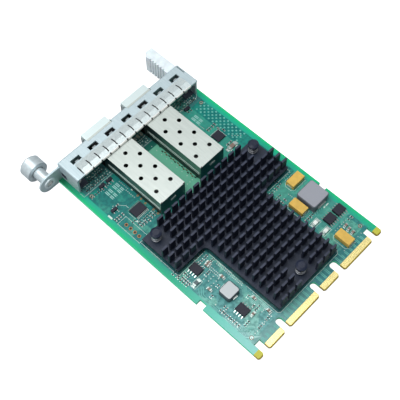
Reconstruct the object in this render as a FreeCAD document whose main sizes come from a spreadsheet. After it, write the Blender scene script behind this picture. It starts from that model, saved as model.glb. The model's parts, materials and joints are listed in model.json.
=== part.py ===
import FreeCAD, Part

# Plug-in network interface card with two pluggable-transceiver ports.
#
# Frame: X across the card, Y from the card edge (y = 0) to the faceplate, Z up, z = 0 on the
# board's top face. The origin is the middle of the card edge. Millimetres throughout.

import math
import os

import Sketcher
from FreeCAD import Placement, Rotation, Vector

doc = FreeCAD.newDocument("network_card")

# ---------------------------------------------------------------------------------------------
# Driving dimensions
# ---------------------------------------------------------------------------------------------

SIZES = {
    # circuit board and its card edge
    "board_thickness": 1.57,
    "contact_pitch": 0.6,
    "contact_width": 0.38,
    "contact_length": 2.4,
    "contact_setback": 0.4,
    "contact_plating": 0.04,
    "short_row_contacts": 14,
    "long_row_contacts": 28,
    "contact_row_margin": 0.4,
    "slot_width": 3.1,
    "key_slot_width": 3.7,
    "slot_depth": 6.2,
    "guide_rail_width": 3.0,
    "rail_notch_width": 3.25,
    "rail_notch_depth": 5.4,
    "card_edge_bevel": 0.4,
    "tongue_corner": 0.7,
    "side_notch_start": 29.7,
    "side_notch_length": 3.6,
    "side_notch_depth": 2.4,
    "corner_hole_radius": 0.6,
    "corner_hole_inset": 4.5,
    "rear_hole_setback": 8.0,
    "front_hole_setback": 15.9,
    "header_pitch": 2.54,
    "header_hole_radius": 0.5,
    "header_inset": 5.2,
    "header_setback": 0.1,
    "header_holes": 4,
    "seat_gap": 0.02,
    # heat sink, chip and their fasteners
    "sink_setback": 7.4,
    "stem_length": 39.8,
    "stem_width": 35.4,
    "bar_depth": 20.7,
    "bar_width": 66.8,
    "sink_shift": -0.4,
    "sink_base_thickness": 1.2,
    "sink_corner_radius": 2.5,
    "fin_height": 6.0,
    "fin_thickness": 0.9,
    "fin_row_pitch": 3.71,
    "fin_column_pitch": 4.245,
    "fin_cut_width": 1.245,
    "fin_margin": 0.06,
    "screw_pocket_depth": 10.0,
    "screw_pocket_width": 8.4,
    "sink_screw_inset": 4.2,
    "stem_screw_inset": 4.6,
    "sink_screw_radius": 1.0,
    "screw_clearance": 0.2,
    "sink_screw_head_radius": 2.4,
    "sink_screw_head_height": 1.5,
    "sink_screw_dome_height": 0.6,
    "sink_screw_crown_radius": 1.45,
    "sink_spring_height": 4.6,
    "sink_spring_wire": 0.5,
    "sink_spring_turns": 3,
    "spring_seat_gap": 0.05,
    "sink_nut_radius": 2.6,
    "back_standoff": 0.83,
    "screw_end_setback": 0.05,
    "chip_side": 25.0,
    "chip_centre": 38.0,
    "chip_substrate_height": 0.9,
    "chip_die_side": 13.0,
    "chip_die_height": 0.6,
    "thermal_pad_thickness": 0.3,
    # transceiver cages
    "cage_gap": 3.2,
    "cage_length": 48.7,
    "cage_overhang": 4.8,
    "cage_width": 14.1,
    "cage_height": 9.66,
    "cage_wall": 0.25,
    "cage_seam": 4.65,
    "cage_tab_width": 3.0,
    "cage_tab_height": 1.2,
    "cage_tab_rise": 0.4,
    "cage_pitch": 23.5,
    "cage_shift": -0.65,
    "vent_radius": 0.95,
    "vent_pitch": 9.05,
    "vent_rows": 3,
    "vent_offset": 4.1,
    "vent_setback": 10.1,
    "side_vent_setback": 5.5,
    "cage_pin_width": 0.6,
    "cage_pin_pitch": 7.5,
    "cage_pin_setback": 2.4,
    "cage_pin_hole": 0.8,
    "cage_pin_tip": 0.35,
    "socket_width": 11.6,
    "socket_length": 12.0,
    "socket_height": 8.0,
    "socket_setback": 2.0,
    "socket_slot_width": 9.6,
    "socket_slot_height": 1.7,
    "socket_slot_depth": 7.0,
    "socket_slot_rise": 4.2,
    "socket_toe_depth": 3.5,
    "socket_toe_rise": 1.2,
    "socket_shoulder": 2.0,
    "spring_collar_length": 1.4,
    "spring_flare": 1.5,
    "spring_length": 2.0,
    "spring_sheet": 0.12,
    "spring_clearance": 0.05,
    "spring_rise": 1.16,
    "spring_finger_height": 1.35,
    "spring_finger_gap": 0.58,
    "spring_finger_count": 4,
    # faceplate bracket
    "sheet": 0.8,
    "bracket_inset": 2.2,
    "flange_depth": 12.9,
    "side_flange_setback": 0.6,
    "face_gap": 0.4,
    "cage_clearance": 0.14,
    "bend_radius": 0.7,
    "clip_slot_count": 7,
    "clip_slot_pitch": 9.76,
    "clip_slot_width": 4.9,
    "clip_slot_depth": 2.3,
    "clip_slot_setback": 3.45,
    "foot_width": 5.0,
    "foot_length": 5.6,
    "foot_setback": 4.6,
    "bracket_screw_radius": 1.0,
    "bracket_screw_head_radius": 1.9,
    "bracket_screw_head_height": 0.8,
    "bracket_screw_end": 0.5,
    "side_slot_length": 3.4,
    "side_slot_height": 3.2,
    "side_slot_rise": 1.2,
    "side_slot_setback": 0.3,
    "mouth_drop": 0.1,
    "mouth_notch_depth": 0.7,
    "relief_width": 0.45,
    "relief_length": 5.5,
    # spring fingers along the top of the bracket
    "finger_count": 13,
    "finger_pitch": 4.88,
    "finger_gap": 0.55,
    "finger_sheet": 0.15,
    "finger_rise": 1.15,
    "finger_crest_setback": 2.4,
    "finger_strip_depth": 6.6,
    "finger_gap_start": 0.9,
    "finger_gap_end": 1.7,
    "finger_shoulder": 0.3,
    "finger_wrap": 0.3,
    "finger_lip_rise": 0.2,
    "clip_tongue_width": 1.7,
    "clip_tongue_depth": 0.9,
    "clip_tongue_height": 0.5,
    # ear and captive thumbscrew
    "ear_radius": 5.0,
    "screw_overhang": 6.4,
    "screw_axis_height": 2.75,
    "ferrule_radius": 2.65,
    "ferrule_length": 6.9,
    "ferrule_neck_radius": 2.2,
    "ferrule_wall": 0.45,
    "ferrule_lip": 0.5,
    "swage_radius": 2.9,
    "swage_thickness": 0.5,
    "swage_draft": 0.25,
    "thumbscrew_radius": 1.5,
    "thumbscrew_shank_radius": 1.05,
    "thumbscrew_clearance": 0.1,
    "thumbscrew_thread_length": 3.0,
    "thumbscrew_tip_setback": 0.1,
    "thread_chamfer": 0.4,
    "thread_gap": 0.05,
    "shank_end_setback": 0.4,
    "knob_radius": 5.1,
    "knob_length": 6.2,
    "knob_crown": 1.3,
    "knob_chamfer": 0.8,
    "knob_bore_clearance": 0.3,
    "release_spring_wire": 0.3,
    "release_spring_turns": 5,
    # pull tab
    "tab_width": 5.5,
    "tab_length": 16.4,
    "tab_height": 9.7,
    "tab_rise": 1.3,
    "tab_corner": 1.6,
    "tab_groove_count": 6,
    "tab_groove_pitch": 1.67,
    "tab_groove_width": 0.8,
    "tab_groove_depth": 0.7,
    "tab_groove_setback": 4.6,
    "tab_screw_radius": 0.8,
    "tab_screw_pitch": 4.8,
    "tab_screw_depth": 3.0,
    "tab_pilot_depth": 3.2,
    "tab_screw_head_radius": 1.4,
    "tab_screw_head_height": 0.35,
    # power and logic parts on the board
    "large_inductor_side": 10.0,
    "large_inductor_height": 4.0,
    "small_inductor_length": 6.2,
    "small_inductor_width": 6.6,
    "small_inductor_height": 3.0,
    "inductor_corner": 1.1,
    "inductor_chamfer": 0.3,
    "terminal_width": 2.3,
    "terminal_reach": 0.55,
    "terminal_height": 1.1,
    "tantalum_length": 7.3,
    "tantalum_width": 4.3,
    "tantalum_height": 2.8,
    "tantalum_lead_width": 2.4,
    "small_outline_length": 4.9,
    "small_outline_width": 3.9,
    "small_outline_height": 1.5,
    "small_outline_pitch": 1.27,
    "small_outline_row": 4,
    "thin_package_length": 6.5,
    "thin_package_width": 4.4,
    "thin_package_height": 1.1,
    "thin_package_pitch": 0.65,
    "thin_package_row": 10,
    "clock_chip_side": 4.6,
    "clock_chip_height": 0.9,
    "mould_draft": 0.13,
    "small_outline_lead_width": 0.42,
    "thin_package_lead_width": 0.28,
    "lead_height": 0.6,
    "lead_reach": 1.05,
    "lead_thickness": 0.2,
    "package_standoff": 0.1,
    "ceramic_block_length": 3.2,
    "ceramic_block_width": 1.6,
    "ceramic_block_height": 0.8,
    "capacitor_length": 1.8,
    "capacitor_width": 1.1,
    "capacitor_height": 0.9,
    "long_capacitor_length": 4.4,
    "long_capacitor_width": 1.8,
    "long_capacitor_height": 1.0,
    "resistor_length": 1.1,
    "resistor_width": 0.6,
    "resistor_height": 0.4,
    "transistor_length": 2.9,
    "transistor_width": 1.3,
    "transistor_height": 0.95,
    "transistor_lead_pitch": 1.9,
    "transistor_lead_width": 0.4,
    "transistor_lead_length": 0.6,
    "transistor_lead_height": 0.3,
    "led_length": 1.7,
    "led_width": 1.1,
    "led_height": 0.8,
    "led_setback": 8.6,
    "back_capacitor_length": 1.0,
    "back_capacitor_width": 0.5,
    "back_capacitor_pitch": 2.8,
    "back_capacitor_columns": 6,
    "back_capacitor_row_pitch": 3.0,
    "back_capacitor_rows": 3,
}


class Length:
    """A size as FreeCAD expression text, together with the number it has now."""

    def __init__(self, text, value):
        self.text = text
        self.value = float(value)

    def _with(self, sign, other, value):
        return Length(f"({self.text} {sign} {text_of(other)})", value)

    def __add__(self, other):
        return self._with("+", other, self.value + number_of(other))

    def __sub__(self, other):
        return self._with("-", other, self.value - number_of(other))

    def __mul__(self, other):
        return self._with("*", other, self.value * number_of(other))

    def __truediv__(self, other):
        return self._with("/", other, self.value / number_of(other))

    def __neg__(self):
        return Length(f"(-1 * {self.text})", -self.value)

    def __radd__(self, other):
        return Length(f"({other} + {self.text})", other + self.value)

    def __rsub__(self, other):
        return Length(f"({other} - {self.text})", other - self.value)

    __rmul__ = __mul__


def number_of(amount):
    return amount.value if isinstance(amount, Length) else float(amount)


def text_of(amount):
    return amount.text if isinstance(amount, Length) else repr(amount)


sheet = doc.addObject("Spreadsheet::Sheet", "Sizes")
for row, (alias, amount) in enumerate(SIZES.items(), start=1):
    sheet.set(f"A{row}", alias)
    sheet.set(f"B{row}", str(amount))
    sheet.setAlias(f"B{row}", alias)
doc.recompute()


class SheetSizes:
    """Reads the spreadsheet: size.board_thickness is a Length bound to that cell."""

    def __getattr__(self, alias):
        return Length(f"Sizes.{alias}", sheet.get(alias))


size = SheetSizes()


def count_of(amount):
    return int(number_of(amount) + 1e-6)


# ---------------------------------------------------------------------------------------------
# Drawing helpers
# ---------------------------------------------------------------------------------------------


def bind(target, property_name, amount):
    """Binds a property to a size, or sets it where the amount is a plain number."""
    if isinstance(amount, Length):
        target.setExpression(property_name, amount.text)
    elif property_name.startswith("Placement.Base."):
        target.setExpression(property_name, repr(float(amount)))
    else:
        setattr(target, property_name, float(amount))


def place(target, x=0.0, y=0.0, z=0.0, rotation=None):
    if rotation is not None:
        target.Placement = Placement(Vector(0, 0, 0), rotation)
    for axis, amount in (("x", x), ("y", y), ("z", z)):
        bind(target, f"Placement.Base.{axis}", amount)
    return target


ALONG_Y = Rotation(Vector(1, 0, 0), -90)
PLAIN_HOLE_SIDES = 12
COIL_SIDES = 10
# how far a cutting outline runs past the face that it opens
OVERCUT = 1.0
# a fillet stops this much short of a full half round
FILLET_SLACK = 0.05


def block_at(label, x, y, base, length, width, height):
    """A block centred on x and y that stands on base."""
    block = doc.addObject("Part::Box", label)
    bind(block, "Length", length)
    bind(block, "Width", width)
    bind(block, "Height", height)
    return place(block, x - length / 2, y - width / 2, base)


def group(label, members):
    """Separate solids kept under one name."""
    result = doc.addObject("Part::Compound", label)
    result.Links = members
    return result


class Body:
    """A PartDesign body, drawn as sketches on its own origin planes."""

    def __init__(self, label, refine=True):
        self.body = doc.addObject("PartDesign::Body", label)
        self.label = label
        self.refine = refine
        self.steps = 0

    def name(self, kind):
        self.steps += 1
        return f"{self.label}_{kind}_{self.steps}"

    def role(self, role):
        return next(item for item in self.body.Origin.OriginFeatures if item.Role == role)

    def sketch(self, plane, level=0.0, shift=(0.0, 0.0)):
        drawing = self.body.newObject("Sketcher::SketchObject", self.name("sketch"))
        drawing.AttachmentSupport = (self.role(plane), [""])
        drawing.MapMode = "FlatFace"
        depth = -level if plane == "XZ_Plane" else level
        for axis, amount in (("x", shift[0]), ("y", shift[1]), ("z", depth)):
            drawing.setExpression(f"AttachmentOffset.Base.{axis}", text_of(amount))
        return drawing

    def extrude(self, kind, plane, level, outlines, thickness):
        """Pads or pockets the outlines from level, towards the plane's positive axis."""
        drawing = self.sketch(plane, level)
        for outline in outlines:
            outline(drawing)
        feature = self.body.newObject(f"PartDesign::{kind}", self.name(kind.lower()))
        feature.Profile = drawing
        bind(feature, "Length", thickness)
        towards_normal = plane != "XZ_Plane"
        feature.Reversed = towards_normal if kind == "Pocket" else not towards_normal
        feature.Refine = self.refine
        drawing.Visibility = False
        doc.recompute()
        self.body.Tip = feature
        return feature

    def pad(self, plane, level, outlines, thickness):
        return self.extrude("Pad", plane, level, outlines, thickness)

    def pocket(self, plane, level, outlines, thickness):
        before = self.body.Shape.Volume
        feature = self.extrude("Pocket", plane, level, outlines, thickness)
        if not self.body.Shape.Volume < before:
            raise ValueError(f"{feature.Name} cuts nothing")
        return feature

    def revolve(self, outlines, kind="Revolution"):
        """Turns outlines drawn in XZ about the body's Z axis."""
        drawing = self.sketch("XZ_Plane")
        for outline in outlines:
            outline(drawing)
        feature = self.body.newObject(f"PartDesign::{kind}", self.name(kind.lower()))
        feature.Profile = drawing
        feature.ReferenceAxis = (drawing, ["V_Axis"])
        feature.Angle = 360
        doc.recompute()
        self.body.Tip = feature
        return feature

    def repeat(self, features, axis, spacing, count):
        """Repeats features along an origin axis."""
        pattern = self.body.newObject("PartDesign::LinearPattern", self.name("pattern"))
        pattern.Originals = features
        pattern.Direction = (self.role(axis), [""])
        pattern.Mode = "Spacing"
        bind(pattern, "Offset", spacing)
        pattern.Occurrences = count
        pattern.Refine = self.refine
        self.body.Tip = pattern
        doc.recompute()
        return pattern

    def edges(self, test):
        """Names of the edges whose middle point passes the test."""
        return [
            f"Edge{number}"
            for number, edge in enumerate(self.body.Tip.Shape.Edges, start=1)
            if test(edge)
        ]

    def dress(self, kind, test, amount):
        """Fillets or chamfers the edges that pass the test."""
        names = self.edges(test)
        dressed = self.body.Tip
        feature = self.body.newObject(f"PartDesign::{kind}", self.name(kind.lower()))
        feature.Base = (dressed, names)
        bind(feature, "Radius" if kind == "Fillet" else "Size", amount)
        self.body.Tip = feature
        doc.recompute()
        return feature


def pin_point(drawing, element, point, u, v):
    """Dimensions one point from the sketch's origin."""
    for kind, amount in (("DistanceX", u), ("DistanceY", v)):
        number = drawing.addConstraint(
            Sketcher.Constraint(kind, -1, 1, element, point, number_of(amount))
        )
        if isinstance(amount, Length):
            drawing.setExpression(f"Constraints[{number}]", amount.text)


def polygon(*points):
    """A closed outline through the points."""

    def draw(drawing):
        first = drawing.GeometryCount
        total = len(points)
        for index in range(total):
            ends = (points[index], points[(index + 1) % total])
            start, end = (Vector(number_of(u), number_of(v), 0) for u, v in ends)
            drawing.addGeometry(Part.LineSegment(start, end))
        for index in range(total):
            before = first + (index - 1) % total
            drawing.addConstraint(Sketcher.Constraint("Coincident", before, 2, first + index, 1))
        for index, (u, v) in enumerate(points):
            pin_point(drawing, first + index, 1, u, v)

    return draw


def rectangle(left, low, right, high):
    return polygon((left, low), (right, low), (right, high), (left, high))


def centred_rectangle(u, v, width, height):
    return rectangle(u - width / 2, v - height / 2, u + width / 2, v + height / 2)


def circle(u, v, radius):
    def draw(drawing):
        centre = Vector(number_of(u), number_of(v), 0)
        element = drawing.addGeometry(Part.Circle(centre, Vector(0, 0, 1), number_of(radius)))
        pin_point(drawing, element, 3, u, v)
        number = drawing.addConstraint(Sketcher.Constraint("Radius", element, number_of(radius)))
        drawing.setExpression(f"Constraints[{number}]", text_of(radius))

    return draw


def many_sided(u, v, radius, sides):
    """A regular polygon inside a circle."""
    corners = []
    for index in range(sides):
        angle = 2 * math.pi * index / sides
        corners.append((u + radius * round(math.cos(angle), 6), v + radius * round(math.sin(angle), 6)))
    return polygon(*corners)


def plain_hole(u, v, radius):
    """A hole with few sides, each of them touching the circle, for small holes that repeat."""
    return many_sided(u, v, radius / math.cos(math.pi / PLAIN_HOLE_SIDES), PLAIN_HOLE_SIDES)


def plain_rod(radius):
    """A rod's outline with few sides, inside the circle and round the origin."""
    return many_sided(0.0, 0.0, radius, PLAIN_HOLE_SIDES)


def is_vertical(edge):
    box_size = edge.BoundBox
    return box_size.XLength < 1e-4 and box_size.YLength < 1e-4


def is_along_x(edge):
    box_size = edge.BoundBox
    return box_size.YLength < 1e-4 and box_size.ZLength < 1e-4 and box_size.XLength > 1e-3


def is_along_y(edge):
    box_size = edge.BoundBox
    return box_size.XLength < 1e-4 and box_size.ZLength < 1e-4 and box_size.YLength > 1e-3


def near(a, b):
    return abs(a - number_of(b)) < 1e-3


# ---------------------------------------------------------------------------------------------
# Places that several pieces share
# ---------------------------------------------------------------------------------------------

board_bottom = -size.board_thickness
rest_level = board_bottom - size.back_standoff

short_row = size.short_row_contacts * size.contact_pitch + 2 * size.contact_row_margin
long_row = size.long_row_contacts * size.contact_pitch + 2 * size.contact_row_margin
rail_end = size.guide_rail_width + size.rail_notch_width
tongue_widths = 2 * short_row + 2 * long_row + 2 * size.slot_width + size.key_slot_width
board_half = rail_end + tongue_widths / 2

bar_rear = size.sink_setback + size.stem_length
bar_front = bar_rear + size.bar_depth
cage_rear = bar_front + size.cage_gap
cage_front = cage_rear + size.cage_length
board_front = cage_front - size.cage_overhang

face_back = board_front + size.face_gap
face_front = face_back + size.sheet
bracket_half = board_half - size.bracket_inset
flange_under = size.cage_height + size.cage_clearance
bracket_top = flange_under + size.sheet
flange_rear = face_front - size.flange_depth

cage_centres = {
    "left": size.cage_shift - size.cage_pitch / 2,
    "right": size.cage_shift + size.cage_pitch / 2,
}
port_half = size.cage_width / 2 + size.cage_clearance
cage_pin_offset = (size.cage_width - size.cage_wall) / 2
cage_pin_start = cage_rear + size.cage_pin_setback


def cage_pin_rows():
    run = size.cage_length.value - size.cage_overhang.value - 2 * size.cage_pin_setback.value
    return int(run / size.cage_pin_pitch.value + 1e-6) + 1


chip_top = size.chip_substrate_height + size.chip_die_height
sink_bottom = chip_top + size.thermal_pad_thickness
sink_base_top = sink_bottom + size.sink_base_thickness
sink_screw_places = (
    (size.sink_shift - size.bar_width / 2 + size.sink_screw_inset, bar_front - size.sink_screw_inset),
    (size.sink_shift + size.bar_width / 2 - size.sink_screw_inset, bar_front - size.sink_screw_inset),
    (size.sink_shift, size.sink_setback + size.stem_screw_inset),
)

foot_front = face_back - size.foot_setback
foot_places = {
    "left": (-bracket_half + size.sheet + size.foot_width / 2, foot_front - size.foot_length / 2),
    "right": (bracket_half - size.sheet - size.foot_width / 2, foot_front - size.foot_length / 2),
}

screw_x = -(bracket_half + size.screw_overhang)
screw_z = size.screw_axis_height
ferrule_end = face_front + size.ferrule_length

tab_right = bracket_half
tab_left = tab_right - size.tab_width
tab_bottom = rest_level + size.tab_rise
tab_screw_x = (tab_left + tab_right) / 2
tab_screw_heights = (
    tab_bottom + size.tab_height / 2 - size.tab_screw_pitch / 2,
    tab_bottom + size.tab_height / 2 + size.tab_screw_pitch / 2,
)


def tongue_spans():
    """Left and right end of each row of card-edge contacts, with its number of contacts."""
    rows = (
        (short_row, size.short_row_contacts, size.slot_width),
        (long_row, size.long_row_contacts, size.slot_width),
        (short_row, size.short_row_contacts, size.key_slot_width),
        (long_row, size.long_row_contacts, size.rail_notch_width),
    )
    left = rail_end - board_half
    for width, contacts, gap_after in rows:
        right = left + width
        yield left, right, contacts, gap_after
        left = right + gap_after


# ---------------------------------------------------------------------------------------------
# Circuit board
# ---------------------------------------------------------------------------------------------


def circuit_board():
    board = Body("circuit_board")
    thickness = size.board_thickness
    board.pad("XY_Plane", board_bottom, [rectangle(-board_half, 0.0, board_half, board_front)], thickness)

    spans = list(tongue_spans())
    notch_left = size.guide_rail_width - board_half
    notches = [rectangle(notch_left, -OVERCUT, spans[0][0], size.rail_notch_depth)]
    for left, right, contacts, gap_after in spans:
        is_last = right.value == spans[-1][1].value
        depth = size.rail_notch_depth if is_last else size.slot_depth
        notches.append(rectangle(right, -OVERCUT, right + gap_after, depth))
    board.pocket("XY_Plane", board_bottom, notches, thickness)

    slot_floor = size.slot_depth.value

    def is_slot_floor(edge):
        return is_vertical(edge) and near(edge.BoundBox.YMin, slot_floor)

    def is_tongue_corner(edge):
        return is_vertical(edge) and near(edge.BoundBox.YMin, 0.0)

    board.dress("Fillet", is_slot_floor, size.slot_width / 2 - FILLET_SLACK)
    board.dress("Chamfer", is_tongue_corner, size.tongue_corner)

    def is_tip(edge):
        return is_along_x(edge) and near(edge.BoundBox.YMin, 0.0)

    board.dress("Chamfer", is_tip, size.card_edge_bevel)

    notch_end = size.side_notch_start + size.side_notch_length
    inner = board_half - size.side_notch_depth
    side_notches = [
        rectangle(inner, size.side_notch_start, board_half + OVERCUT, notch_end),
        rectangle(-board_half - OVERCUT, size.side_notch_start, -inner, notch_end),
    ]
    board.pocket("XY_Plane", board_bottom, side_notches, thickness)

    hole_x = board_half - size.corner_hole_inset
    corner_y = (size.rear_hole_setback, board_front - size.front_hole_setback)
    holes = [circle(x, y, size.corner_hole_radius) for x in (hole_x, -hole_x) for y in corner_y]
    for row in range(count_of(size.header_holes)):
        header_y = cage_rear + size.header_setback + size.header_pitch * row
        holes.append(plain_hole(size.header_inset - board_half, header_y, size.header_hole_radius))
    for x, y in sink_screw_places:
        holes.append(plain_hole(x, y, size.sink_screw_radius + size.screw_clearance))
    for x, y in foot_places.values():
        holes.append(plain_hole(x, y, size.bracket_screw_radius + size.screw_clearance))
    board.pocket("XY_Plane", board_bottom, holes, thickness)

    pin_holes = []
    for middle in cage_centres.values():
        for offset in (cage_pin_offset, -cage_pin_offset):
            pin_holes.append(
                centred_rectangle(middle + offset, cage_pin_start, size.cage_pin_hole, size.cage_pin_hole)
            )
    first_row = board.pocket("XY_Plane", board_bottom, pin_holes, thickness)
    board.repeat([first_row], "Y_Axis", size.cage_pin_pitch, cage_pin_rows())
    return board.body


def card_edge_contacts(label, level):
    """One flat contact under each finger place; the four rows share a pitch."""
    contacts = Body(label)
    for left, right, count, gap_after in tongue_spans():
        first = left + size.contact_row_margin + size.contact_pitch / 2
        middle = size.contact_setback + size.contact_length / 2
        outline = centred_rectangle(first, middle, size.contact_width, size.contact_length)
        pad = contacts.pad("XY_Plane", level, [outline], size.contact_plating)
        contacts.repeat([pad], "X_Axis", size.contact_pitch, count_of(count))
    return contacts.body


# ---------------------------------------------------------------------------------------------
# Heat sink and what it sits on
# ---------------------------------------------------------------------------------------------


def fin_rows(depth, margin):
    """Number of fin rows that fit in a depth."""
    free = number_of(depth) - number_of(margin) - size.fin_thickness.value
    return int(free / size.fin_row_pitch.value + 1e-6) + 1


def fin_columns(width):
    return int((number_of(width) + size.fin_cut_width.value) / size.fin_column_pitch.value + 1e-6)


def fin_block(sink, width, first_y, rows):
    """Plate fins across the base, cut through into pins by slots along Y."""
    columns = fin_columns(width)
    half = (size.fin_column_pitch * columns - size.fin_cut_width) / 2
    middle = size.sink_shift
    rib = rectangle(middle - half, first_y, middle + half, first_y + size.fin_thickness)
    ribs = sink.pad("XY_Plane", sink_base_top, [rib], size.fin_height)
    sink.repeat([ribs], "Y_Axis", size.fin_row_pitch, rows)

    pin_width = size.fin_column_pitch - size.fin_cut_width
    cut_left = middle - half + pin_width
    block_end = first_y + size.fin_row_pitch * (rows - 1) + size.fin_thickness
    cut = rectangle(cut_left, first_y - OVERCUT, cut_left + size.fin_cut_width, block_end + OVERCUT)
    slot = sink.pocket("XY_Plane", sink_base_top, [cut], size.fin_height)
    sink.repeat([slot], "X_Axis", size.fin_column_pitch, columns - 1)


def heat_sink():
    sink = Body("heat_sink", refine=False)
    middle = size.sink_shift
    stem_half = size.stem_width / 2
    bar_half = size.bar_width / 2
    outline = polygon(
        (middle - stem_half, size.sink_setback),
        (middle + stem_half, size.sink_setback),
        (middle + stem_half, bar_rear),
        (middle + bar_half, bar_rear),
        (middle + bar_half, bar_front),
        (middle - bar_half, bar_front),
        (middle - bar_half, bar_rear),
        (middle - stem_half, bar_rear),
    )
    sink.pad("XY_Plane", sink_bottom, [outline], size.sink_base_thickness)

    def is_inner_corner(edge):
        on_stem = near(abs(edge.BoundBox.XMin - middle.value), stem_half)
        return is_vertical(edge) and on_stem and near(edge.BoundBox.YMin, bar_rear)

    sink.dress("Fillet", is_inner_corner, size.sink_corner_radius)

    stem_rows = fin_rows(size.stem_length, size.fin_margin)
    first = size.sink_setback + size.fin_margin
    fin_block(sink, size.stem_width, first, stem_rows)
    bar_first = first + size.fin_row_pitch * stem_rows
    fin_block(sink, size.bar_width, bar_first, fin_rows(bar_front - bar_first, 0.0))

    pocket_low = bar_front - size.screw_pocket_depth
    stem_pocket_high = size.sink_setback + size.screw_pocket_depth
    pocket_half = size.screw_pocket_width / 2
    left = middle - bar_half
    right = middle + bar_half
    clearings = [
        rectangle(left - OVERCUT, pocket_low, left + size.screw_pocket_width, bar_front + OVERCUT),
        rectangle(right - size.screw_pocket_width, pocket_low, right + OVERCUT, bar_front + OVERCUT),
        rectangle(middle - pocket_half, size.sink_setback - OVERCUT, middle + pocket_half, stem_pocket_high),
    ]
    sink.pocket("XY_Plane", sink_base_top, clearings, size.fin_height)
    bore = size.sink_screw_radius + size.screw_clearance
    bores = [plain_hole(x, y, bore) for x, y in sink_screw_places]
    sink.pocket("XY_Plane", sink_bottom, bores, size.sink_base_thickness)
    return sink.body


def controller_chip():
    chip = Body("controller_chip")
    outline = centred_rectangle(size.sink_shift, size.chip_centre, size.chip_side, size.chip_side)
    chip.pad("XY_Plane", 0.0, [outline], size.chip_substrate_height)
    die = centred_rectangle(size.sink_shift, size.chip_centre, size.chip_die_side, size.chip_die_side)
    chip.pad("XY_Plane", size.chip_substrate_height, [die], size.chip_die_height)
    return chip.body


def thermal_pad():
    side = size.chip_die_side
    return block_at("thermal_pad", size.sink_shift, size.chip_centre, chip_top, side, side,
                    size.thermal_pad_thickness)


sink_head_bottom = sink_base_top + size.sink_spring_height


def sink_screw(index, x, y):
    """Domed shoulder screw; its shank reaches the nut on the board's back."""
    screw = Body(f"sink_screw_{index}")
    head = size.sink_screw_head_radius
    top = sink_head_bottom + size.sink_screw_head_height
    dome_edge = top - size.sink_screw_dome_height
    screw.revolve([
        polygon(
            (0.0, sink_head_bottom),
            (head, sink_head_bottom),
            (head, dome_edge),
            (size.sink_screw_crown_radius, top),
            (0.0, top),
        )
    ])
    screw_end = rest_level + size.screw_end_setback
    shank = plain_rod(size.sink_screw_radius)
    screw.pad("XY_Plane", screw_end, [shank], sink_head_bottom - screw_end)
    return place(screw.body, x, y)


def coil(label, x, y, z, mean_radius, wire, height, turns, rotation=None):
    """Open coil spring of square wire, its axis along local Z, in short straight lengths."""
    steps = turns * COIL_SIDES
    wire_size = number_of(wire)
    rise = number_of(height) - wire_size
    corners = []
    for step in range(steps + 1):
        angle = 2 * math.pi * step / COIL_SIDES
        arm = number_of(mean_radius)
        level = wire_size / 2 + rise * step / steps
        corners.append(Vector(arm * math.cos(angle), arm * math.sin(angle), level))
    spine = doc.addObject("Part::Polygon", f"{label}_spine")
    spine.Nodes = corners
    section = doc.addObject("Part::Plane", f"{label}_section")
    bind(section, "Length", wire)
    bind(section, "Width", wire)
    place(section, mean_radius - wire / 2, 0.0, wire, ALONG_Y)
    spring = doc.addObject("Part::Sweep", label)
    spring.Sections = [section]
    spring.Spine = (spine, [])
    spring.Solid = True
    spring.Transition = "Right corner"
    doc.recompute()
    return place(spring, x, y, z, rotation)


def sink_fasteners():
    screws, springs, nuts = [], [], []
    mean = size.sink_screw_head_radius - size.sink_spring_wire / 2
    height = size.sink_spring_height - size.spring_seat_gap * 2
    turns = count_of(size.sink_spring_turns)
    for index, (x, y) in enumerate(sink_screw_places, start=1):
        screws.append(sink_screw(index, x, y))
        springs.append(coil(f"sink_spring_{index}", x, y, sink_base_top + size.spring_seat_gap, mean,
                            size.sink_spring_wire, height, turns))
        nut = Body(f"sink_nut_{index}")
        outline = many_sided(0.0, 0.0, size.sink_nut_radius, 6)
        bore = plain_hole(0.0, 0.0, size.sink_screw_radius)
        nut.pad("XY_Plane", rest_level, [outline, bore], size.back_standoff)
        nuts.append(place(nut.body, x, y))
    return [
        group("heat_sink_screws", screws),
        group("heat_sink_springs", springs),
        group("heat_sink_nuts", nuts),
    ]


# ---------------------------------------------------------------------------------------------
# Transceiver cages and the sockets in them
# ---------------------------------------------------------------------------------------------


def cage_cover(side):
    """Top half of the folded cage: roof, side walls down to the seam, and the rear wall."""
    cover = Body(f"port_cage_cover_{side}")
    half = size.cage_width / 2
    wall = size.cage_wall
    roof = size.cage_height
    section = polygon(
        (-half, size.cage_seam),
        (wall - half, size.cage_seam),
        (wall - half, roof - wall),
        (half - wall, roof - wall),
        (half - wall, size.cage_seam),
        (half, size.cage_seam),
        (half, roof),
        (-half, roof),
    )
    cover.pad("XZ_Plane", cage_rear, [section], size.cage_length)
    rear = rectangle(wall - half, size.cage_seam, half - wall, roof - wall)
    cover.pad("XZ_Plane", cage_rear, [rear], wall)
    tab_low = size.cage_seam + size.cage_tab_rise
    tab_half = size.cage_tab_width / 2
    tab = rectangle(-tab_half, tab_low, tab_half, tab_low + size.cage_tab_height)
    cover.pad("XZ_Plane", cage_rear - wall, [tab], wall)

    first = cage_rear + size.vent_setback
    side_first = cage_rear + size.side_vent_setback
    radius = size.vent_radius
    vents = [
        plain_hole(0.0, first, radius),
        plain_hole(size.vent_offset, side_first, radius),
        plain_hole(-size.vent_offset, side_first, radius),
    ]
    holes = cover.pocket("XY_Plane", roof - wall, vents, wall)
    cover.repeat([holes], "Y_Axis", size.vent_pitch, count_of(size.vent_rows))
    return place(cover.body, cage_centres[side])


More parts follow.
